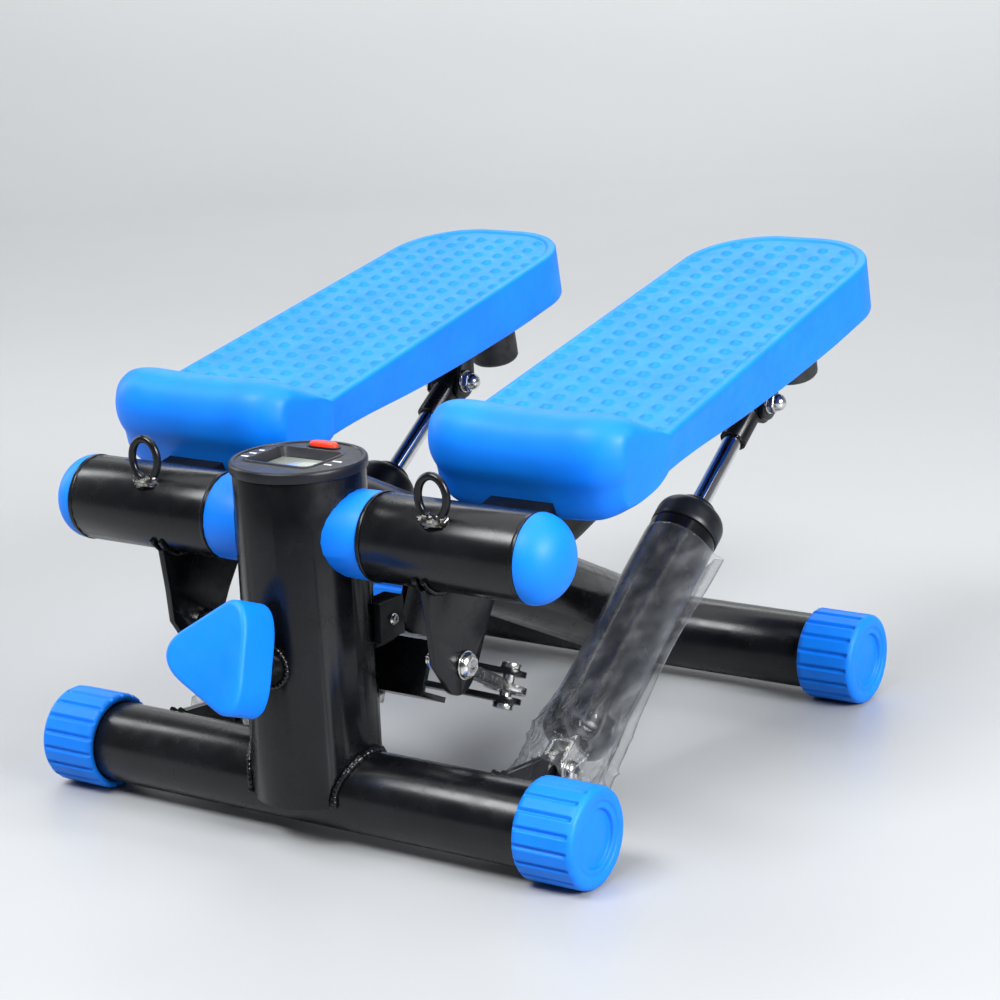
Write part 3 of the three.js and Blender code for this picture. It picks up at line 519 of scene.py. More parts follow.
def flute(radius, angle, height):
    """Grooves with flat lands between them, which run out before the cap's rounded rims."""
    if radius < CAP_R - 1.2:
        return radius
    turn = ((angle + pi / 2) * FLUTES / (2 * pi)) % 1.0
    pitch = 2 * pi / FLUTES
    off_land = abs(turn - round(turn)) * pitch
    radius *= cos(pitch * LAND) / cos(min(off_land, pitch * LAND))
    across = abs(turn - 0.5) / (0.5 - LAND)
    groove = float(smooth_step(1.25 * (1 - across)))
    from_ends = min(height + CAP_LENGTH - RUN_OUT, -4.5 - height)
    return radius - FLUTE_DEPTH * groove * float(smooth_step(from_ends / RUN_OUT + 1))


def foot_caps():
    inner = FOOT_R + 0.3
    bore = [(0, -6), (inner, -6), (inner, -CAP_LENGTH + 0.8), (FOOT_R + 1, -CAP_LENGTH)]
    back = [(CAP_R - 2.2, -CAP_LENGTH), (CAP_R - 1.1, -CAP_LENGTH + 0.5), (CAP_R, -CAP_LENGTH + 1.8)]
    wall = [(CAP_R, -CAP_LENGTH + 1.8 + (CAP_LENGTH - 6) * k / 14) for k in range(1, 15)]
    rim = [(CAP_R, -CAP_ROUND)]
    rim += arc((CAP_R - CAP_ROUND, -CAP_ROUND), (CAP_ROUND, CAP_ROUND), 0, pi / 2, 6)
    face = [(22.4, 0), (22, -0.25), (21.4, -0.9), (20.9, -1.0), (20.3, -0.75), (18.4, -0.6)]
    dish = [(17.6, -0.7), (17.2, -1.3), (16.9, -2.7), (16.4, -3.1), (15.4, -3.0), (8, -2.6), (0, -2.5)]
    points, polygons = lathe(bore + back + wall + rim + face + dish, "x", FLUTES * 16, shape=flute)
    for end, y in (("front", 0), ("rear", REAR_Y)):
        for side, sign in SIDES:
            node = f"foot_cap_{end}_{side}"
            shape = [([(sign * (h + FOOT_HALF), u, v) for h, u, v in points], polygons)]
            piece("fluted_" + node, shape, placed(0, y, FOOT_Z), "blue_plastic", "base", [node], 50)


# Pedals --------
AXLE_Y, AXLE_Z, LEAN = 2.0, 188.0, radians(0.6)
PEDAL_X, PEDAL_HALF, TREAD_FLARE, TREAD_RISE = 120.0, 64.0, 5.0, 6.6
TREAD_TILT, TREAD_Y, TREAD_Z, TREAD_LENGTH = radians(11.6), 103.5, 232.0, 312.0
PEDAL_CORNER_R, DECK, SKIRT_WALL = 51.0, 4.0, 3.0
EDGE_R = 2.0  # rounding along the tread's edge
RIM, FLOOR_DROP, FLOOR_SLOPE = 5.2, 1.2, 2.2  # the flat border and the sunk floor inside it
STUD_R, STUD_HEIGHT, STUD_COLUMNS, STUD_PITCH_X, STUD_PITCH_Y = 4.1, 2.3, 8, 15.9, 14.3
LAST_STUD_Y, STUD_CLEARANCE = 291.0, 2.6
GRID = 0.95  # mesh step on the tread
ARM_HALF = 21.0
RIB_HALF, RIB_TOP, RIB_OVER_ARM, RIB_EDGE, RIB_PITCH = 1.1, -3.8, -15.4, 0.3, 49.5
# Side views, as (y, z).
SKIRT = [(0, -19), (30, -20.5), (95, -27.5), (150, -31.5), (218, -34.5), (312, -34.5)]
LIP = [(1, -20), (-18, -28), (-38, -30.5), (-50, -29), (-55, -25), (-58.8, -9), (-61.5, 4), (-60, 18)]
LIP += [(-53, 29), (-42, 33), (-29, 30), (-15, 20), (2, 5.2)]
# The lip's place across the pedal, front set back, underside raised, ridge lowered.
LIP_SECTIONS = [(0, 0, 0, 2.4), (0.35, 0, 0, 1.8), (0.6, 0.2, 0.5, 0.4), (0.8, 1.5, 2, 0.6), (1, 6, 7, 2.5)]
LIP_END_LENGTH, LIP_END_R = 28.0, 12.0


def arm_frame(sign):
    return placed(0, AXLE_Y, AXLE_Z, sign * LEAN)


def tread_frame(sign):
    at = (sign * PEDAL_X, TREAD_Y - AXLE_Y, TREAD_Z - AXLE_Z)
    return placed(*at, tilt=TREAD_TILT, parent=arm_frame(sign))


def skirt_bottom(y):
    ys, zs = zip(*SKIRT)
    return float(np.mean([np.interp(y + d, ys, zs) for d in (-16, -8, 0, 8, 16)]))


def depth_inside(x, y):
    """Distance from the unflared outline of the tread, inwards."""
    ax = np.abs(x)
    cx, cy = PEDAL_HALF - PEDAL_CORNER_R, TREAD_LENGTH - PEDAL_CORNER_R
    corner = PEDAL_CORNER_R - np.hypot(np.maximum(ax - cx, 0), np.maximum(y - cy, 0))
    return np.where((ax > cx) & (y > cy), corner, np.minimum(PEDAL_HALF - ax, TREAD_LENGTH - y))


def tread_relief(x, y):
    """Height over the rim's plane: a recessed floor with rows of studs."""
    inside = depth_inside(x, y)
    height = -FLOOR_DROP * smooth_step((inside - RIM) / FLOOR_SLOPE)
    for j in range(int((LAST_STUD_Y - 4) / STUD_PITCH_Y) + 1):
        stud_y = LAST_STUD_Y - j * STUD_PITCH_Y
        near = np.abs(y - stud_y) < STUD_R
        for i in range(STUD_COLUMNS):
            stud_x = (i - (STUD_COLUMNS - 1) / 2) * STUD_PITCH_X
            if depth_inside(np.array(stud_x), np.array(stud_y)) < RIM + STUD_CLEARANCE:
                continue
            away = np.hypot(x - stud_x, (y - stud_y) * 1.04) / STUD_R
            dome = STUD_HEIGHT * np.clip(1 - away**2, 0, 1) ** 1.25
            height = np.where(near, height + dome, height)
    return height


def flared(x, y, share=1.0):
    """x moved out by the tread's flare, which grows toward the front."""
    front = 1 - np.asarray(y) / TREAD_LENGTH
    return x * (1 + TREAD_FLARE / PEDAL_HALF * front * share)


def tread_shell():
    """Studded top, rounded edge, drafted skirt and the hollow below, as one closed skin."""
    half, rear, corner = PEDAL_HALF - EDGE_R, TREAD_LENGTH - EDGE_R, PEDAL_CORNER_R - EDGE_R
    straight = np.arange(0, rear - corner, GRID)
    bend = np.linspace(0, pi / 2, 60)
    ys = np.concatenate([straight, rear - corner + corner * np.sin(bend)])
    widths = np.concatenate([np.full(len(straight), half), half - corner + corner * np.cos(bend)])
    columns = int(2 * half / GRID) | 1
    across = np.linspace(-1, 1, columns)
    x = widths[:, None] * across[None, :]
    y = np.repeat(ys[:, None], columns, 1)
    z = TREAD_RISE * (1 - y / TREAD_LENGTH) + tread_relief(x, y)
    points = np.stack([flared(x, y), y, z], -1).reshape(-1, 3).tolist()
    rows = len(ys)
    corners = [j * columns + i for j in range(rows - 1) for i in range(columns - 1)]
    polygons = [(a, a + 1, a + columns + 1, a + columns) for a in corners]
    border = [(0, i) for i in range(columns)]
    border += [(j, columns - 1) for j in range(1, rows)]
    border += [(rows - 1, i) for i in range(columns - 2, -1, -1)]
    border += [(j, 0) for j in range(rows - 2, 0, -1)]
    # Each border point with its outward normal.
    loop = []
    for j, i in border:
        px, py = float(x[j, i]), float(y[j, i])
        if j == 0 and 0 < i < columns - 1:
            normal = (0.0, -1.0)
        elif py <= rear - corner:
            normal = (copysign(1.0, px), 0.0)
        elif abs(px) > half - corner:
            centre = Vector((copysign(half - corner, px), rear - corner))
            normal = tuple((Vector((px, py)) - centre).normalized())
        else:
            normal = (0.0, 1.0)
        loop.append((px, py, *normal))
    previous = [j * columns + i for j, i in border]

    def add_ring(offset, height_of, share):
        """One more ring, offset outward from the border, with a share of the flare."""
        nonlocal previous
        ring = list(range(len(points), len(points) + len(loop)))
        for px, py, nx, ny in loop:
            out_y = py + ny * offset
            out_x = flared(px + nx * offset, min(max(out_y, 0), TREAD_LENGTH), share)
            points.append((float(out_x), out_y, height_of(py)))
        for k in range(len(ring)):
            following = (k + 1) % len(ring)
            polygons.append((previous[k], previous[following], ring[following], ring[k]))
        previous = ring

    def top(py):
        return TREAD_RISE * (1 - py / TREAD_LENGTH)

    for a in np.linspace(0, pi / 2, 5)[1:]:
        add_ring(EDGE_R * sin(a), lambda py, drop=EDGE_R * (cos(a) - 1): top(py) + drop, 1)
    for t in (k / 6 for k in range(1, 6)):
        add_ring(EDGE_R, lambda py, t=t: (top(py) - EDGE_R) * (1 - t) + (skirt_bottom(py) + 1) * t, 1 - t)
    foot = [(0, 1.0), (-0.25, 0.35), (-0.9, 0), (-2.1, 0), (-2.75, 0.35), (-SKIRT_WALL, 1.0)]
    for offset, rise in foot:
        add_ring(EDGE_R + offset, lambda py, r=rise: skirt_bottom(py) + r, 0)
    add_ring(EDGE_R - SKIRT_WALL, lambda py: -DECK, 0)
    polygons.append(tuple(previous))
    return points, polygons


def smooth_curve(points, count):
    """Catmull-Rom through the points, at count even steps."""
    p = np.array(points, float)
    p = np.vstack([2 * p[0] - p[1], p, 2 * p[-1] - p[-2]])
    lengths = np.linalg.norm(np.diff(p[1:-1], axis=0), axis=1)
    at = np.concatenate([[0], np.cumsum(lengths)])
    curve = []
    for s in np.linspace(0, at[-1], count):
        k = min(int(np.searchsorted(at, s, side="right")) - 1, len(lengths) - 1)
        t = (s - at[k]) / lengths[k]
        a, b, c, d = p[k : k + 4]
        square, cube = 2 * a - 5 * b + 4 * c - d, 3 * b - a - 3 * c + d
        curve.append(0.5 * (2 * b + (c - a) * t + square * t**2 + cube * t**3))
    return np.array(curve)


def lip_shell():
    """The raised toe lip: a bowed bar with full, rounded ends."""
    profile = smooth_curve(LIP, 84)
    tangent = np.gradient(profile, axis=0)
    tangent /= np.linalg.norm(tangent, axis=1)[:, None]
    inward = np.stack([tangent[:, 1], -tangent[:, 0]], 1)
    # The tread end and the underside draw in less at the lip's ends than its front does.
    weight = 0.2 + 0.8 * smooth_step(-profile[:, 0] / 26)
    weight *= 0.35 + 0.65 * smooth_step((profile[:, 1] + 27) / 24)
    places, *changes = np.array(LIP_SECTIONS).T

    def eased(u, values):
        return np.mean([np.interp(min(abs(u) + d, 1), places, values) for d in np.linspace(-0.08, 0.08, 9)])

    def section(u):
        y, z = profile[:, 0], profile[:, 1]
        rise = max(0.0, 1 - (1 - abs(u)) * PEDAL_HALF / LIP_END_LENGTH)
        inset = LIP_END_R * (1 - (1 - rise**2.6) ** 0.4) * weight
        forward = np.clip(-y / 45, 0, 1)
        upper = np.clip((z + 19) / (TREAD_RISE + 19), 0, 1)
        half = PEDAL_HALF + TREAD_FLARE * upper * (1 - 0.5 * forward)
        back, lift, lower = (eased(u, v) for v in changes)
        shift = np.where(z < 0, lift * smooth_step(-z / 14), -lower * np.clip(z / 20, 0, 1))
        y = y + back * forward + inward[:, 0] * inset
        z = z + shift * forward + inward[:, 1] * inset
        return np.stack([u * half, y, z], 1)

    bend = 1 - LIP_END_LENGTH / PEDAL_HALF
    ends = [bend + (1 - bend) * sin(a) for a in np.linspace(0, pi / 2, 22)]
    stations = [-u for u in reversed(ends)] + np.linspace(-bend, bend, 44)[1:-1].tolist() + ends
    return loops([section(u).tolist() for u in stations])


def underside_ribs():
    """Two long ribs beside the arm's channel, and six across."""
    parts = []
    channel = ARM_HALF + 3
    rear = TREAD_LENGTH - 26
    for x in (-channel, channel):
        outline = [(y, skirt_bottom(y) + 2.5) for y in np.linspace(9, rear, 12)]
        outline += [(rear, RIB_TOP), (9, RIB_TOP)]
        parts.append(prism(outline, "x", x - RIB_HALF, x + RIB_HALF, RIB_EDGE))
    for j in range(6):
        y = 10 + j * RIB_PITCH
        reach = PEDAL_HALF - SKIRT_WALL + 0.6
        run = y - (TREAD_LENGTH - PEDAL_CORNER_R)
        if run > 0:
            reach = PEDAL_HALF - PEDAL_CORNER_R + sqrt((PEDAL_CORNER_R - SKIRT_WALL) ** 2 - run**2)
        floor = skirt_bottom(y) + 2
        spans = ((-reach, -channel, floor), (-channel, channel, RIB_OVER_ARM), (channel, reach, floor))
        for x0, x1, z0 in spans:
            parts.append(block((x0, y - RIB_HALF, z0), (x1, y + RIB_HALF, RIB_TOP), RIB_EDGE))
    return parts


def pedals():
    parts = [tread_shell(), lip_shell(), *underside_ribs()]
    for side, sign in SIDES:
        body, node = f"{side}_arm", f"foot_pedal_{side}"
        piece(f"studded_pedal_{side}", parts, tread_frame(sign), "blue_plastic", body, [node], 44)


# Knob --------
KNOB_TILT = radians(21.7)
KNOB_ORIGIN_Z = 114 - POST_R * tan(KNOB_TILT)
KNOB_FACE, KNOB_THICKNESS, KNOB_TURN, KNOB_ROUNDING, KNOB_EDGE = 91.0, 31.0, 0.1, 2.2, 3.0
# The three sides of its rounded triangle: direction and distance.
KNOB_SIDES = ((0, 17.3), (2 * pi / 3, 28.1), (-2 * pi / 3, 25.2))


def knob_radius(angle, inset):
    total = 0.0
    for side, distance in KNOB_SIDES:
        total += max(0.0, cos(angle - side - KNOB_TURN) / (distance - inset)) ** KNOB_ROUNDING
    return total ** (-1 / KNOB_ROUNDING)


def knob():
    back, face = KNOB_FACE - KNOB_THICKNESS, KNOB_FACE
    levels = [(9.0, back + 3.0), (8.2, back + 0.6), (2.6, back + 0.3), (1.2, back + 0.8), (0.35, back + 2.0)]
    levels += [(0.0, back + 3.6 + k * 3.6) for k in range(7)]
    for a in np.linspace(0, pi / 2, 8):
        levels.append((KNOB_EDGE - KNOB_EDGE * cos(a), face - KNOB_EDGE - 0.4 + KNOB_EDGE * sin(a)))
    levels += [(6, face - 0.2), (10, face - 0.05), (13, face), (16.5, face)]
    rings = []
    for inset, height in levels:
        ring = []
        for a in around(120):
            r = knob_radius(a, min(inset, KNOB_EDGE))
            r *= 1 - max(0.0, inset - KNOB_EDGE) / 17.5
            ring.append((r * cos(a), r * sin(a), height))
        rings.append(ring)
    at = placed(0, 0, KNOB_ORIGIN_Z, pi / 2 - KNOB_TILT)
    piece("smooth_tension_knob", [loops(rings)], at, "blue_plastic", "knob", ["tension_knob"], 50)


# Console --------
CONSOLE_R, CONSOLE_TOP, CONSOLE_INNER_R = 40.4, 230.0, 36.6
WINDOW_X, WINDOW_HALF_X, WINDOW_HALF_Y = -3.0, 22.0, 17.0
BUTTON_X, BUTTON_Y, BUTTON_HALF_X, BUTTON_HALF_Y = -2, 27.5, 9.7, 3.5
# Rings of the housing as (radius, z) and of its window as (outward offset, z, squareness).
HOUSING = [(CONSOLE_INNER_R, 206), (CONSOLE_INNER_R, 223.2), (39.2, 223.3), (40.1, 223.6), (CONSOLE_R, 224.4)]
HOUSING += [(CONSOLE_R, 227.6), (40.2, 228.9), (39.6, 229.7), (38.7, CONSOLE_TOP), (37.6, CONSOLE_TOP)]
HOUSING += [(37.1, 229.8), (36.8, 229.2), (36.2, 229.1)]
WINDOW = [(4.6, 229.1, 9), (3.4, 229.15, 9), (3.0, 229.5, 9), (2.6, 229.9, 9), (1.2, 229.95, 9)]
WINDOW += [(0.7, 229.6, 16), (-3.6, 225.6, 16), (-3.9, 225.2, 16), (-3.9, 223.2, 16)]
# Rings of the button and of the collar round it, as (scale, z).
BUTTON = ((1, 218), (1, 230.2), (0.985, 231.2), (0.93, 231.9), (0.8, 232.3), (0.5, 232.45), (0.2, 232.5))
COLLAR = ((1.16, 229.0), (1.16, 229.7), (1.12, 230.0), (1.05, 230.0), (1.03, 229.6), (1.03, 229.0))
# Printed bars on the housing, as (x, y, length).
LEGEND = ((-31.5, -9, 6), (-31.8, -1.5, 5), (-31.0, 6, 4), (25.8, -6, 5), (26.5, 2, 6))


def superellipse(angle, half_x, half_y, power):
    c, s = cos(angle), sin(angle)
    r = (abs(c / half_x) ** power + abs(s / half_y) ** power) ** (-1 / power)
    return r * c, r * s


def console():
    at = placed()
    angles = around(128, 0.5)
    rings = [[(r * cos(a), r * sin(a), z) for a in angles] for r, z in HOUSING]
    for grow, z, power in WINDOW:
        ring = [superellipse(a, WINDOW_HALF_X + grow, WINDOW_HALF_Y + grow, power) for a in angles]
        rings.append([(WINDOW_X + x, y, z) for x, y in ring])
    piece("console_bezel", [loops(rings)], at, "black_plastic", "base", ["console_housing"], 40)

    low_x, high_x = WINDOW_X - WINDOW_HALF_X + 3, WINDOW_X + WINDOW_HALF_X - 3
    glass = block((low_x, -WINDOW_HALF_Y + 3, 222.5), (high_x, WINDOW_HALF_Y - 3, 225.0), 0.3)
    piece("display_window", [glass], at, "lens", "base", ["console_lens"])

    outline = [superellipse(a, BUTTON_HALF_X, BUTTON_HALF_Y, 3) for a in around(64)]

    def button_rings(levels):
        return [[(BUTTON_X + x * k, BUTTON_Y + y * k, z) for x, y in outline] for k, z in levels]

    piece("reset_button", [loops(button_rings(BUTTON))], at, "red_plastic", "button", ["console_button"])
    collar = loops(button_rings(COLLAR), ring_of_rings=True)
    piece("button_collar", [collar], at, "black_plastic", "base")

    marks = []
    for x, y, length in LEGEND:
        marks.append(block((x - length / 2, y - 0.9, 229.05), (x + length / 2, y + 0.9, 229.22), 0.06))
    piece("legend_bars", marks, at, "mark", "base")


# Axle ends, eyelets and bolts --------
SLEEVE_R, SLEEVE_OUT, DOME_HEIGHT = 26.0, 160.0, 20.0
EYELET_X, EYELET_Y, EYELET_Z, EYELET_R, WIRE_R = 104.0, -15.0, 221.0, 9.6, 2.4
EYELET_HEIGHT = 1.28 * EYELET_R
LEVER_X, LEVER_Y, LEVER_Z, LEVER_BOLT_R = 95.0, 18.5, 111.5, 4.0
PIN_Y, PIN_Z, EAR_OUTER = 330.0, 200.0, 13.0
BASE_Y, BASE_Z, LUG_OUTER, PIN_R = 78.0, 32.0, 8.5, 4.0


def domes():
    profile = [(0, SLEEVE_OUT - 8), (22.6, SLEEVE_OUT - 8), (22.6, SLEEVE_OUT + 0.2)]
    profile += [(SLEEVE_R - 0.6, SLEEVE_OUT + 0.2), (SLEEVE_R - 0.1, SLEEVE_OUT + 0.5)]
    for k in range(1, 25):
        a = pi / 2 * k / 24
        profile.append((SLEEVE_R * cos(a) ** 0.94, SLEEVE_OUT + 0.6 + DOME_HEIGHT * sin(a) ** 1.03))
    dome = lathe(profile, "x", 96)
    for side, sign in SIDES:
        body, node = f"{side}_arm", f"sleeve_dome_{side}"
        piece(f"round_dome_{side}", mirrored([dome], sign), arm_frame(sign), "blue_plastic", body, [node])


def collars():
    """Thin rings between the fixed spacers and the turning sleeves, and the lip of each sleeve."""
    rings = []
    for inner, outer, start, end, radius in ((9, 26.6, 55.4, 57.6, 0.6), (22.8, 26.25, 157.6, 160.1, 0.5)):
        outline = [(inner, start), (outer, start), (outer, end), (inner, end)]
        rings.append(lathe(softened(outline, radius, 3), "x", 96, hollow=True))
    for side, sign in SIDES:
        parts = mirrored(rings, sign)
        piece(f"sleeve_lips_{side}", parts, arm_frame(sign), "black_paint", f"{side}_arm")


def eyelets():
    """Wire loops on the sleeves, left open at the foot where the weld takes them."""
    opening, steps = 0.16, 55
    for side, sign in SIDES:
        at = placed(sign * EYELET_X, EYELET_Y - AXLE_Y, EYELET_Z - AXLE_Z, parent=arm_frame(sign))
        ring = []
        for i in range(steps + 1):
            a = -pi / 2 + opening + (2 * pi - 2 * opening) * i / steps
            ring.append((EYELET_R * cos(a), 0, EYELET_HEIGHT * sin(a)))
        for i in (0, -1):
            ring[i] = (ring[i][0], 0, -EYELET_HEIGHT - 3)
        body, node = f"{side}_arm", f"cord_eyelet_{side}"
        piece(f"bent_wire_eyelet_{side}", [tube(ring, WIRE_R, 16)], at, "black_paint", body, [node])
        lumps = [
            blob((sign * 5, 0.6, -13.2), (5.2, 4.2, 3.6), 1.3),
            blob((-sign * 4.2, -0.4, -13), (5.4, 4.4, 3.6), 4.1),
            blob((0.4, -2.4, -14.4), (7.0, 4.6, 3.0), 7.7),
        ]
        piece(f"eyelet_weld_{side}", lumps, at, "weld", body)


def round_head(at_x, radius, height):
    """A button head with a hexagonal socket, facing +x."""
    crown = 0.32 * pi
    profile = [(radius * 0.98, 0), (radius, 0.5)]
    profile += arc((0, 0.5), (radius, height / sin(crown)), 0, crown, 9)
    turns = np.linspace(0, 2 * pi, 48, False)
    rings = [[(at_x + h, r * cos(t), r * sin(t)) for t in turns] for r, h in profile]
    top = profile[-1][1]
    for depth, grow in ((0.0, 1.1), (-0.35, 1.0), (-2.2, 1.0)):
        ring = []
        for t in turns:
            r = radius * 0.62 * grow / cos((t + pi / 6) % (pi / 3) - pi / 6) / 1.08
            ring.append((at_x + top + depth, r * cos(t), r * sin(t)))
        rings.append(ring)
    return loops(rings)


def washer(at_x, thickness, inner, outer):
    ring = softened([(inner, 0), (outer, 0), (outer, thickness), (inner, thickness)], 0.3, 2)
    return moved(lathe(ring, "x", 48, hollow=True), at_x)


def hex_nut(at_x, thickness, across_flats, thread_r):
    """A nut with turned-off corners and the end of the thread through it."""
    rings = []
    for inset, h in ((0.55, 0), (0, 0.5), (0, thickness - 0.5), (0.55, thickness)):
        rings.append([(at_x + h, u, v) for u, v in hexagon(across_flats - 2 * inset, 0.3)])
    out, turns = 3.6, 12
    thread = []
    for k in range(turns + 1):
        r = thread_r - (0.35 if k % 2 else 0.0)
        thread.append((r if k < turns else r - 0.9, -out + 0.3 * k * (thickness + out) / out))
    thread = [(0.01, thread[0][1])] + thread + [(0.01, thread[-1][1])]
    return [loops(rings), moved(lathe(thread, "x", 32), at_x)]


def acorn_nut(at_x, across_flats):
    """Closed dome nut facing +x."""
    rings = []
    for inset, h in ((0.5, 0), (0, 0.5), (0, 3.6), (0.6, 4.2)):
        rings.append([(at_x + h, u, v) for u, v in hexagon(across_flats - 2 * inset, 0.2)])
    dome_r = across_flats * 0.46
    profile = [(0, 1), (dome_r, 1), (dome_r, 4.4)]
    profile += arc((0, 4.4), (dome_r, across_flats * 0.47), 0, pi / 2, 12)
    return [loops(rings), moved(lathe(profile, "x", 40), at_x)]


def shank(x0, x1, r):
    return lathe([(0, x0), (r, x0), (r, x1), (0, x1)], "x", 32)


def bolts():
    """Right-hand sets, mirrored for the left. The upper pins' domes face right on both sides."""
    lever = [round_head(2.9, 7.9, 3.9), washer(2.3, 0.7, 4.2, 8.6), shank(-18, 3, LEVER_BOLT_R)]
    lever += hex_nut(-19.5, 5.8, 12.6, LEVER_BOLT_R)
    upper = [washer(EAR_OUTER + 0.2, 1.2, 4.2, 7.8), shank(-15, 15, PIN_R)]
    upper += acorn_nut(EAR_OUTER + 1.5, 12.4) + hex_nut(-EAR_OUTER - 6.2, 5.6, 12.4, PIN_R)
    lower = [round_head(LUG_OUTER + 0.4, 6.6, 3.6), shank(-12, LUG_OUTER + 1, PIN_R)]
    lower += hex_nut(-LUG_OUTER - 6.2, 5.6, 11.6, PIN_R)
    for side, sign in SIDES:
        arm, body = arm_frame(sign), f"{side}_arm"
        at = placed(sign * LEVER_X, LEVER_Y - AXLE_Y, LEVER_Z - AXLE_Z, parent=arm)
        piece(f"lever_bolt_set_{side}", mirrored(lever, sign), at, "zinc", body, [f"lever_bolt_{side}"])
        at = placed(sign * PEDAL_X, PIN_Y - AXLE_Y, PIN_Z - AXLE_Z, parent=arm)
        piece(f"upper_pin_set_{side}", upper, at, "zinc", body, [f"cylinder_pin_{side}"])
        at, node = placed(sign * PEDAL_X, BASE_Y, BASE_Z), f"cylinder_base_bolt_{side}"
        piece(f"lower_pin_set_{side}", mirrored(lower, sign), at, "zinc", "base", [node])


# Cylinders and their film --------
BARREL_R, BARREL_START, BARREL_END, HEAD_END, FILM_START = 22.0, 18.0, 188.0, 212.0, -12.0
ROD_R, ROD_LENGTH, EYE_NECK = 6.3, 191.0, 30.0
ROD_EYE_SHIFT = (1.2, -2.4)


def leaned(y, z, sign):
    """A point of the arm where the arm's lean leaves it."""
    c, s = cos(sign * LEAN), sin(sign * LEAN)
    dy, dz = y - AXLE_Y, z - AXLE_Z
    return AXLE_Y + dy * c - dz * s, AXLE_Z + dy * s + dz * c


def film_sleeve(sign):
    """A wide bag of thin film drawn over the barrel: tight above, with a folded seam, and crushed below."""
    seam = radians(-14 if sign > 0 else -38)
    rings = []
    for t in np.linspace(0, 1, 150).tolist():
        s = FILM_START + (BARREL_END - 9 - FILM_START) * t
        crush = float(smooth_step((58 - s) / 62))
        below = float(smooth_step((18 - s) / 28))
        ring = []
        for a in around(200):
            c, d = cos(a), sin(a)
            away = (a - seam + pi) % (2 * pi) - pi
            fin = (7.0 + 2.5 * crush) * exp(-((away / 0.07) ** 2)) * (0.8 + 0.2 * sin(s * 0.045))
            drape = 2.6 * exp(-((away / 0.36) ** 2))
            slack = noise.noise(Vector((c * 1.6, s * 0.011, d * 1.6 + 4 * sign)))
            crease = noise.noise(Vector((c * 1.9 + s * 0.012, s * 0.035, d * 1.9 + 3 * sign)))
            facet = noise.noise(Vector((c * 2.6, s * 0.07 + 4, d * 2.6 + 9 * sign)))
            folds = 3.6 * max(0.0, 1 - 2.2 * abs(crease)) ** 2 + 2.6 * max(0.0, 1 - 2.0 * abs(facet)) ** 3
            r = BARREL_R + 0.6 + fin + drape * (0.4 + 0.6 * t) + 0.5 * max(0.0, slack)
            r += crush * (1.6 + folds) + below * (3.6 * sin(4 * a + 2 * sign) - 1.0 + 3.5 * slack)
            ring.append((r * c, s + below * 7.0 * noise.noise(Vector((c * 1.7, 7, d * 1.7))), r * d))
        rings.append(ring)
    return loops(rings, caps=False)


def cylinders():
    barrel = [(0, BARREL_START), (12, BARREL_START)]
    barrel += arc((BARREL_R - 10, BARREL_START + 9.5), (10, 9.5), -pi / 2, 0, 8)
    barrel += [(BARREL_R, BARREL_END - 40 * k) for k in (3, 2, 1)]
    barrel += [(BARREL_R, BARREL_END - 1), (BARREL_R - 0.8, BARREL_END), (12, BARREL_END), (0, BARREL_END)]
    head = [(ROD_R + 0.5, BARREL_END + 0.1), (BARREL_R + 0.1, BARREL_END + 0.1)]
    head += [(BARREL_R + 0.4, BARREL_END + 0.5), (BARREL_R + 0.5, BARREL_END + 4)]
    head += [(BARREL_R + 0.5, HEAD_END - 14)] + arc((BARREL_R - 7.5, HEAD_END - 14), (8, 9), 0, pi / 2, 8)
    head += [(14.2, HEAD_END - 4.4), (13.4, HEAD_END - 3.9), (12.9, HEAD_END - 1.0), (12.2, HEAD_END - 0.2)]
    head += [(ROD_R + 2.2, HEAD_END), (ROD_R + 1.2, HEAD_END - 0.6), (ROD_R + 0.5, HEAD_END - 2)]
    wiper = [(ROD_R + 0.35, HEAD_END - 1), (9.6, HEAD_END - 1), (8.4, HEAD_END + 1.6)]
    wiper = softened(wiper + [(ROD_R + 0.35, HEAD_END + 2.2)], 0.6, 3)
    for side, sign in SIDES:
        pin_y, pin_z = leaned(PIN_Y, PIN_Z, sign)
        eye_y, eye_z = pin_y + ROD_EYE_SHIFT[0] - BASE_Y, pin_z + ROD_EYE_SHIFT[1] - BASE_Z
        at = placed(sign * PEDAL_X, BASE_Y, BASE_Z, atan2(eye_z, eye_y))
        body, node = f"{side}_barrel", f"cylinder_barrel_{side}"
        piece(f"turned_barrel_{side}", [lathe(barrel, "y", 96)], at, "black_paint", body, [node])
        shape = [lathe(head, "y", 96, hollow=True)]
        piece(f"turned_head_{side}", shape, at, "black_plastic", body, [f"cylinder_head_{side}"])
        piece(f"rod_wiper_{side}", [lathe(wiper, "y", 64, hollow=True)], at, "rubber", body)

        film = piece(f"film_sleeve_{side}", [film_sleeve(sign)], at, "film", body, [f"film_wrap_{side}"], 180)
        thickness = film.modifiers.new("thickness", "SOLIDIFY")
        thickness.thickness = 0.12 * MM

        span = hypot(eye_y, eye_z)
        start, end = span - ROD_LENGTH, span - EYE_NECK
        piston_end = start + 14
        rod = [(0, start), (18.4, start), (18.6, start + 1), (18.6, piston_end - 1), (18.2, piston_end)]
        rod += [(ROD_R, piston_end), (ROD_R, start + 60), (ROD_R, end - 40), (ROD_R, end - 1)]
        rod += [(ROD_R - 0.6, end - 0.3), (0, end - 0.3)]
        body, node = f"{side}_rod", f"piston_rod_{side}"
        piece(f"ground_rod_{side}", [lathe(rod, "y", 64)], at, "chrome", body, [node])


# Welds --------
BEAM_R, BEAM_TOP_Z, BEAM_END_Z, BOSS_R = 28.0, 203.0, 34.0, 11.7
BEAM_SLOPE = atan2(BEAM_TOP_Z - BEAM_END_Z, REAR_Y)


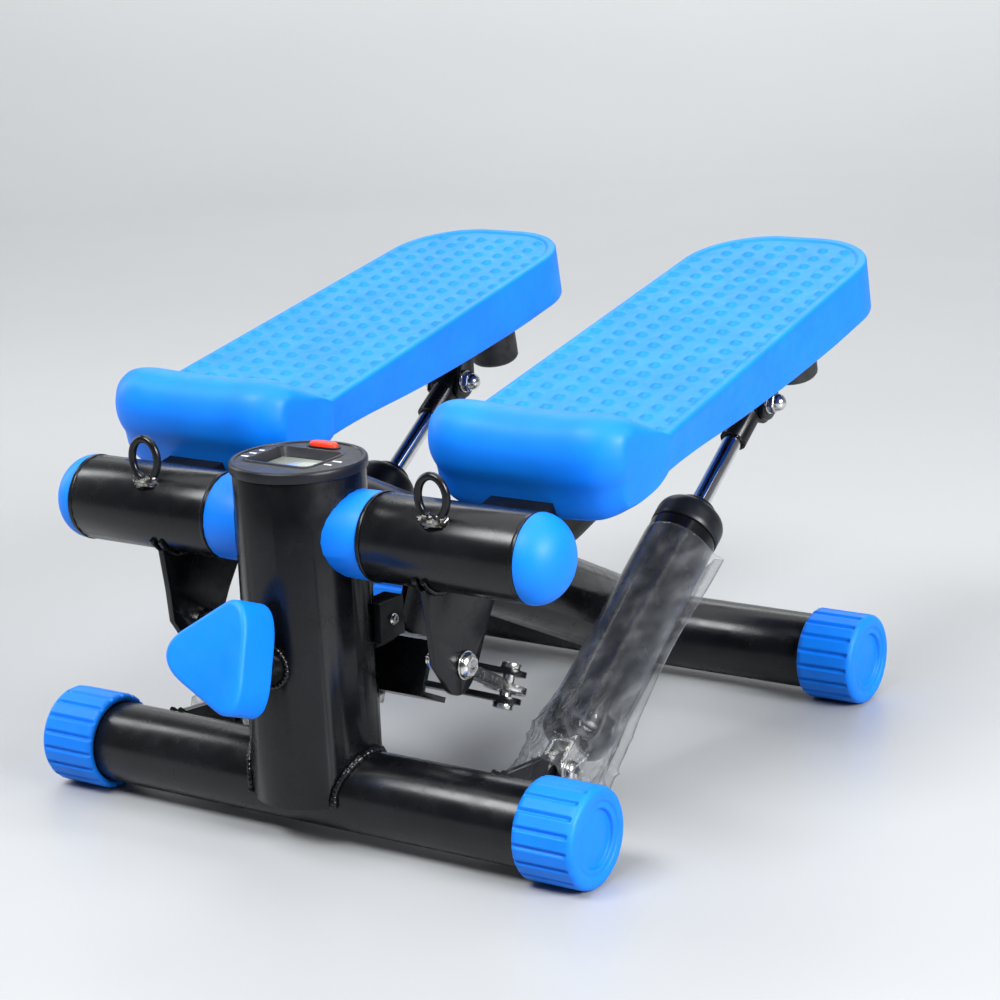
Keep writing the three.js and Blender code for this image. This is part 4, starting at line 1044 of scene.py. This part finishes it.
def welds():
    turns = np.linspace(0, 2 * pi, 180, False)
    beads = []
    foot, post = FOOT_R + 0.8, POST_R + 0.8
    for sign in (-1, 1):  # the foot tube in the post
        path = []
        for a in np.linspace(-0.08, pi + 0.08, 120):
            y = foot * cos(a)
            path.append((sign * sqrt(post**2 - y * y), y, FOOT_Z + foot * sin(a)))
        beads.append(weld(path, 2.4, sign, closed=False))
    c, s = cos(BEAM_SLOPE), sin(BEAM_SLOPE)
    path = []
    for a in turns:  # the sloping beam on the post
        x, w = (BEAM_R + 0.8) * cos(a), (BEAM_R + 0.8) * sin(a)
        t = (sqrt(post**2 - x * x) - w * s) / c
        path.append((x, t * c + w * s, BEAM_TOP_Z - t * s + w * c))
    beads.append(weld(path, 2.3, 3.0))
    c, s = cos(pi / 2 - KNOB_TILT), sin(pi / 2 - KNOB_TILT)
    path = []
    for a in turns:  # the knob's boss on the post
        x, v = BOSS_R * cos(a), BOSS_R * sin(a)
        h = (v * c + sqrt((POST_R + 0.6) ** 2 - x * x)) / s
        path.append((x, v * c - h * s, v * s + h * c + KNOB_ORIGIN_Z))
    beads.append(weld(path, 1.9, 6.0))
    for sign in (-1, 1):  # the cylinder gussets on the foot tube
        for x in (-3.4, 3.4):
            path = []
            for a in np.linspace(0.1, 1.0, 26):
                path.append((sign * PEDAL_X + x, (FOOT_R + 1) * cos(a), FOOT_Z + (FOOT_R + 1) * sin(a)))
            beads.append(weld(path, 1.9, 9 + x, closed=False))
    piece("frame_welds", beads, placed(), "black_paint", "base", sharp=60)
    for side, sign in SIDES:  # the levers on the sleeves
        beads = []
        for face in (-1, 1):
            x = sign * (LEVER_X + face * 3.2)
            turns = np.linspace(-2.55, -0.55, 44)
            path = [(x, (SLEEVE_R + 0.9) * cos(a), (SLEEVE_R + 0.9) * sin(a)) for a in turns]
            beads.append(weld(path, 1.8, 12 + face, closed=False))
        piece(f"lever_welds_{side}", beads, arm_frame(sign), "black_paint", f"{side}_arm", sharp=60)


def gussets():
    """The plates that hold the cylinders' lower pins, tapering back from the foot tube."""
    outline = [(16, 50), (16, 12)]
    for a in np.linspace(-pi * 0.6, pi * 0.42, 24):
        outline.append((BASE_Y + 11 * cos(a), BASE_Z + 11 * sin(a)))
    plate = prism(softened(outline, 2.0, 3), "x", -3, 3, 0.6)
    for side, sign in SIDES:
        at = placed(sign * PEDAL_X)
        piece(f"tapered_gusset_{side}", [plate], at, "black_paint", "base", [f"cylinder_gusset_{side}"])


def sensor_screw():
    """The counter sensor's screw, and its lead from the sensor into the post."""
    piece("sensor_screw", [round_head(0.2, 3.6, 1.9)], placed(42.2, 26, 130), "zinc", "base")
    lead = [(35, 37.8, 122), (35, 41.5, 121), (33.5, 44, 117), (29.5, 43, 112.5), (26, 39, 110)]
    lead += [(22, 33, 108.5), (18, 30, 108)]
    piece("sensor_lead", [tube(smooth_curve(lead, 30).tolist(), 1.7, 12)], placed(), "rubber", "base")


# The rest of the frame keeps its CAD shape --------
# Look, bevel in millimetres and nodes. {} stands for right and left.
KEPT = (
    ("black_paint", 0.4, "post main_beam pedal_sleeve_{}"),
    ("black_paint", 0.5, "front_foot_tube rear_foot_tube knob_boss rod_end_{}"),
    ("black_paint", 0.6, "rocker_arm rocker_lever_{} pedal_arm_{}"),
    ("black_paint", 0.7, "rocker_bracket"),
    ("blue_plastic", 0.5, "axle_spacer_{}"),
    ("black_plastic", 0.7, "counter_sensor"),
    ("circuit", 0.3, "counter_board"),
    ("rubber", 0.8, "rubber_bumper_{}"),
    ("zinc", 0.3, "knob_screw pivot_axle"),
    ("zinc", 0.4, "rocker_pin_{}"),
    ("zinc", 0.5, "rocker_pivot_bolt rocker_link_{} cylinder_clevis_{}"),
)


def kept_nodes():
    for look, bevel, names in KEPT:
        for name in names.split():
            for node in sorted({name.format(side) for side, _ in SIDES}):
                keep(node, look, bevel)


# Studio --------
FLOOR_R, SWEEP_R, STUDIO_TOP, STUDIO_FORWARD = 3.9, 1.2, 5.0, 1.5  # metres


def studio():
    """A bowl: a round floor that curves up into its wall, centred between the object and the camera."""
    profile = [(0.0, 0.0), (1.5, 0.0), (FLOOR_R, 0.0)]
    profile += arc((FLOOR_R, SWEEP_R), (SWEEP_R, SWEEP_R), -pi / 2, 0, 12)
    profile += [(FLOOR_R + SWEEP_R, STUDIO_TOP)]
    points, polygons = lathe(profile, "z", 96)
    polygons = polygons[:-2]  # without the end caps
    centre = Matrix.Rotation(CAMERA_AZIMUTH, 4, "Z") @ Vector((0, -STUDIO_FORWARD, 0))
    mesh = bpy.data.meshes.new("studio_sweep")
    mesh.from_pydata([centre + Vector(p) for p in points], [], polygons)
    mesh.shade_smooth()
    mesh.materials.append(LOOKS["backdrop"])
    add("studio_sweep", mesh)

    world = bpy.data.worlds.new("studio")
    world.use_nodes = True
    background = world.node_tree.nodes["Background"]
    background.inputs["Color"].default_value = (0.86, 0.92, 1.0, 1)
    background.inputs["Strength"].default_value = 0.14
    bpy.context.scene.world = world
    view = bpy.context.scene.view_settings
    view.view_transform = "Standard"
    view.look = "None"
    area_light("overhead", (0.1, 0.2, 2.0), (0, 0, 0), 2.4, 2.0, 26, (1.0, 1.0, 0.99))
    area_light("front_key", (-0.4, -1.7, 2.5), (0, 0, 0.1), 1.5, 0.9, 92, (0.98, 0.99, 1.0))
    area_light("right_box", (2.7, -0.6, 1.55), (0, 0, 0.15), 1.3, 1.0, 135, (0.98, 0.99, 1.0))
    area_light("left_strip", (-1.9, -0.1, 1.0), (0, 0, 0.15), 0.4, 1.4, 14, (0.95, 0.98, 1.0))
    area_light("rear_box", (-1.2, 2.6, 2.2), (-1.4, 2.9, 0.4), 3.0, 1.2, 60, (1.0, 1.0, 1.0))


make_camera()
foot_caps()
pedals()
knob()
console()
domes()
collars()
eyelets()
bolts()
cylinders()
welds()
gussets()
sensor_screw()
kept_nodes()
studio()
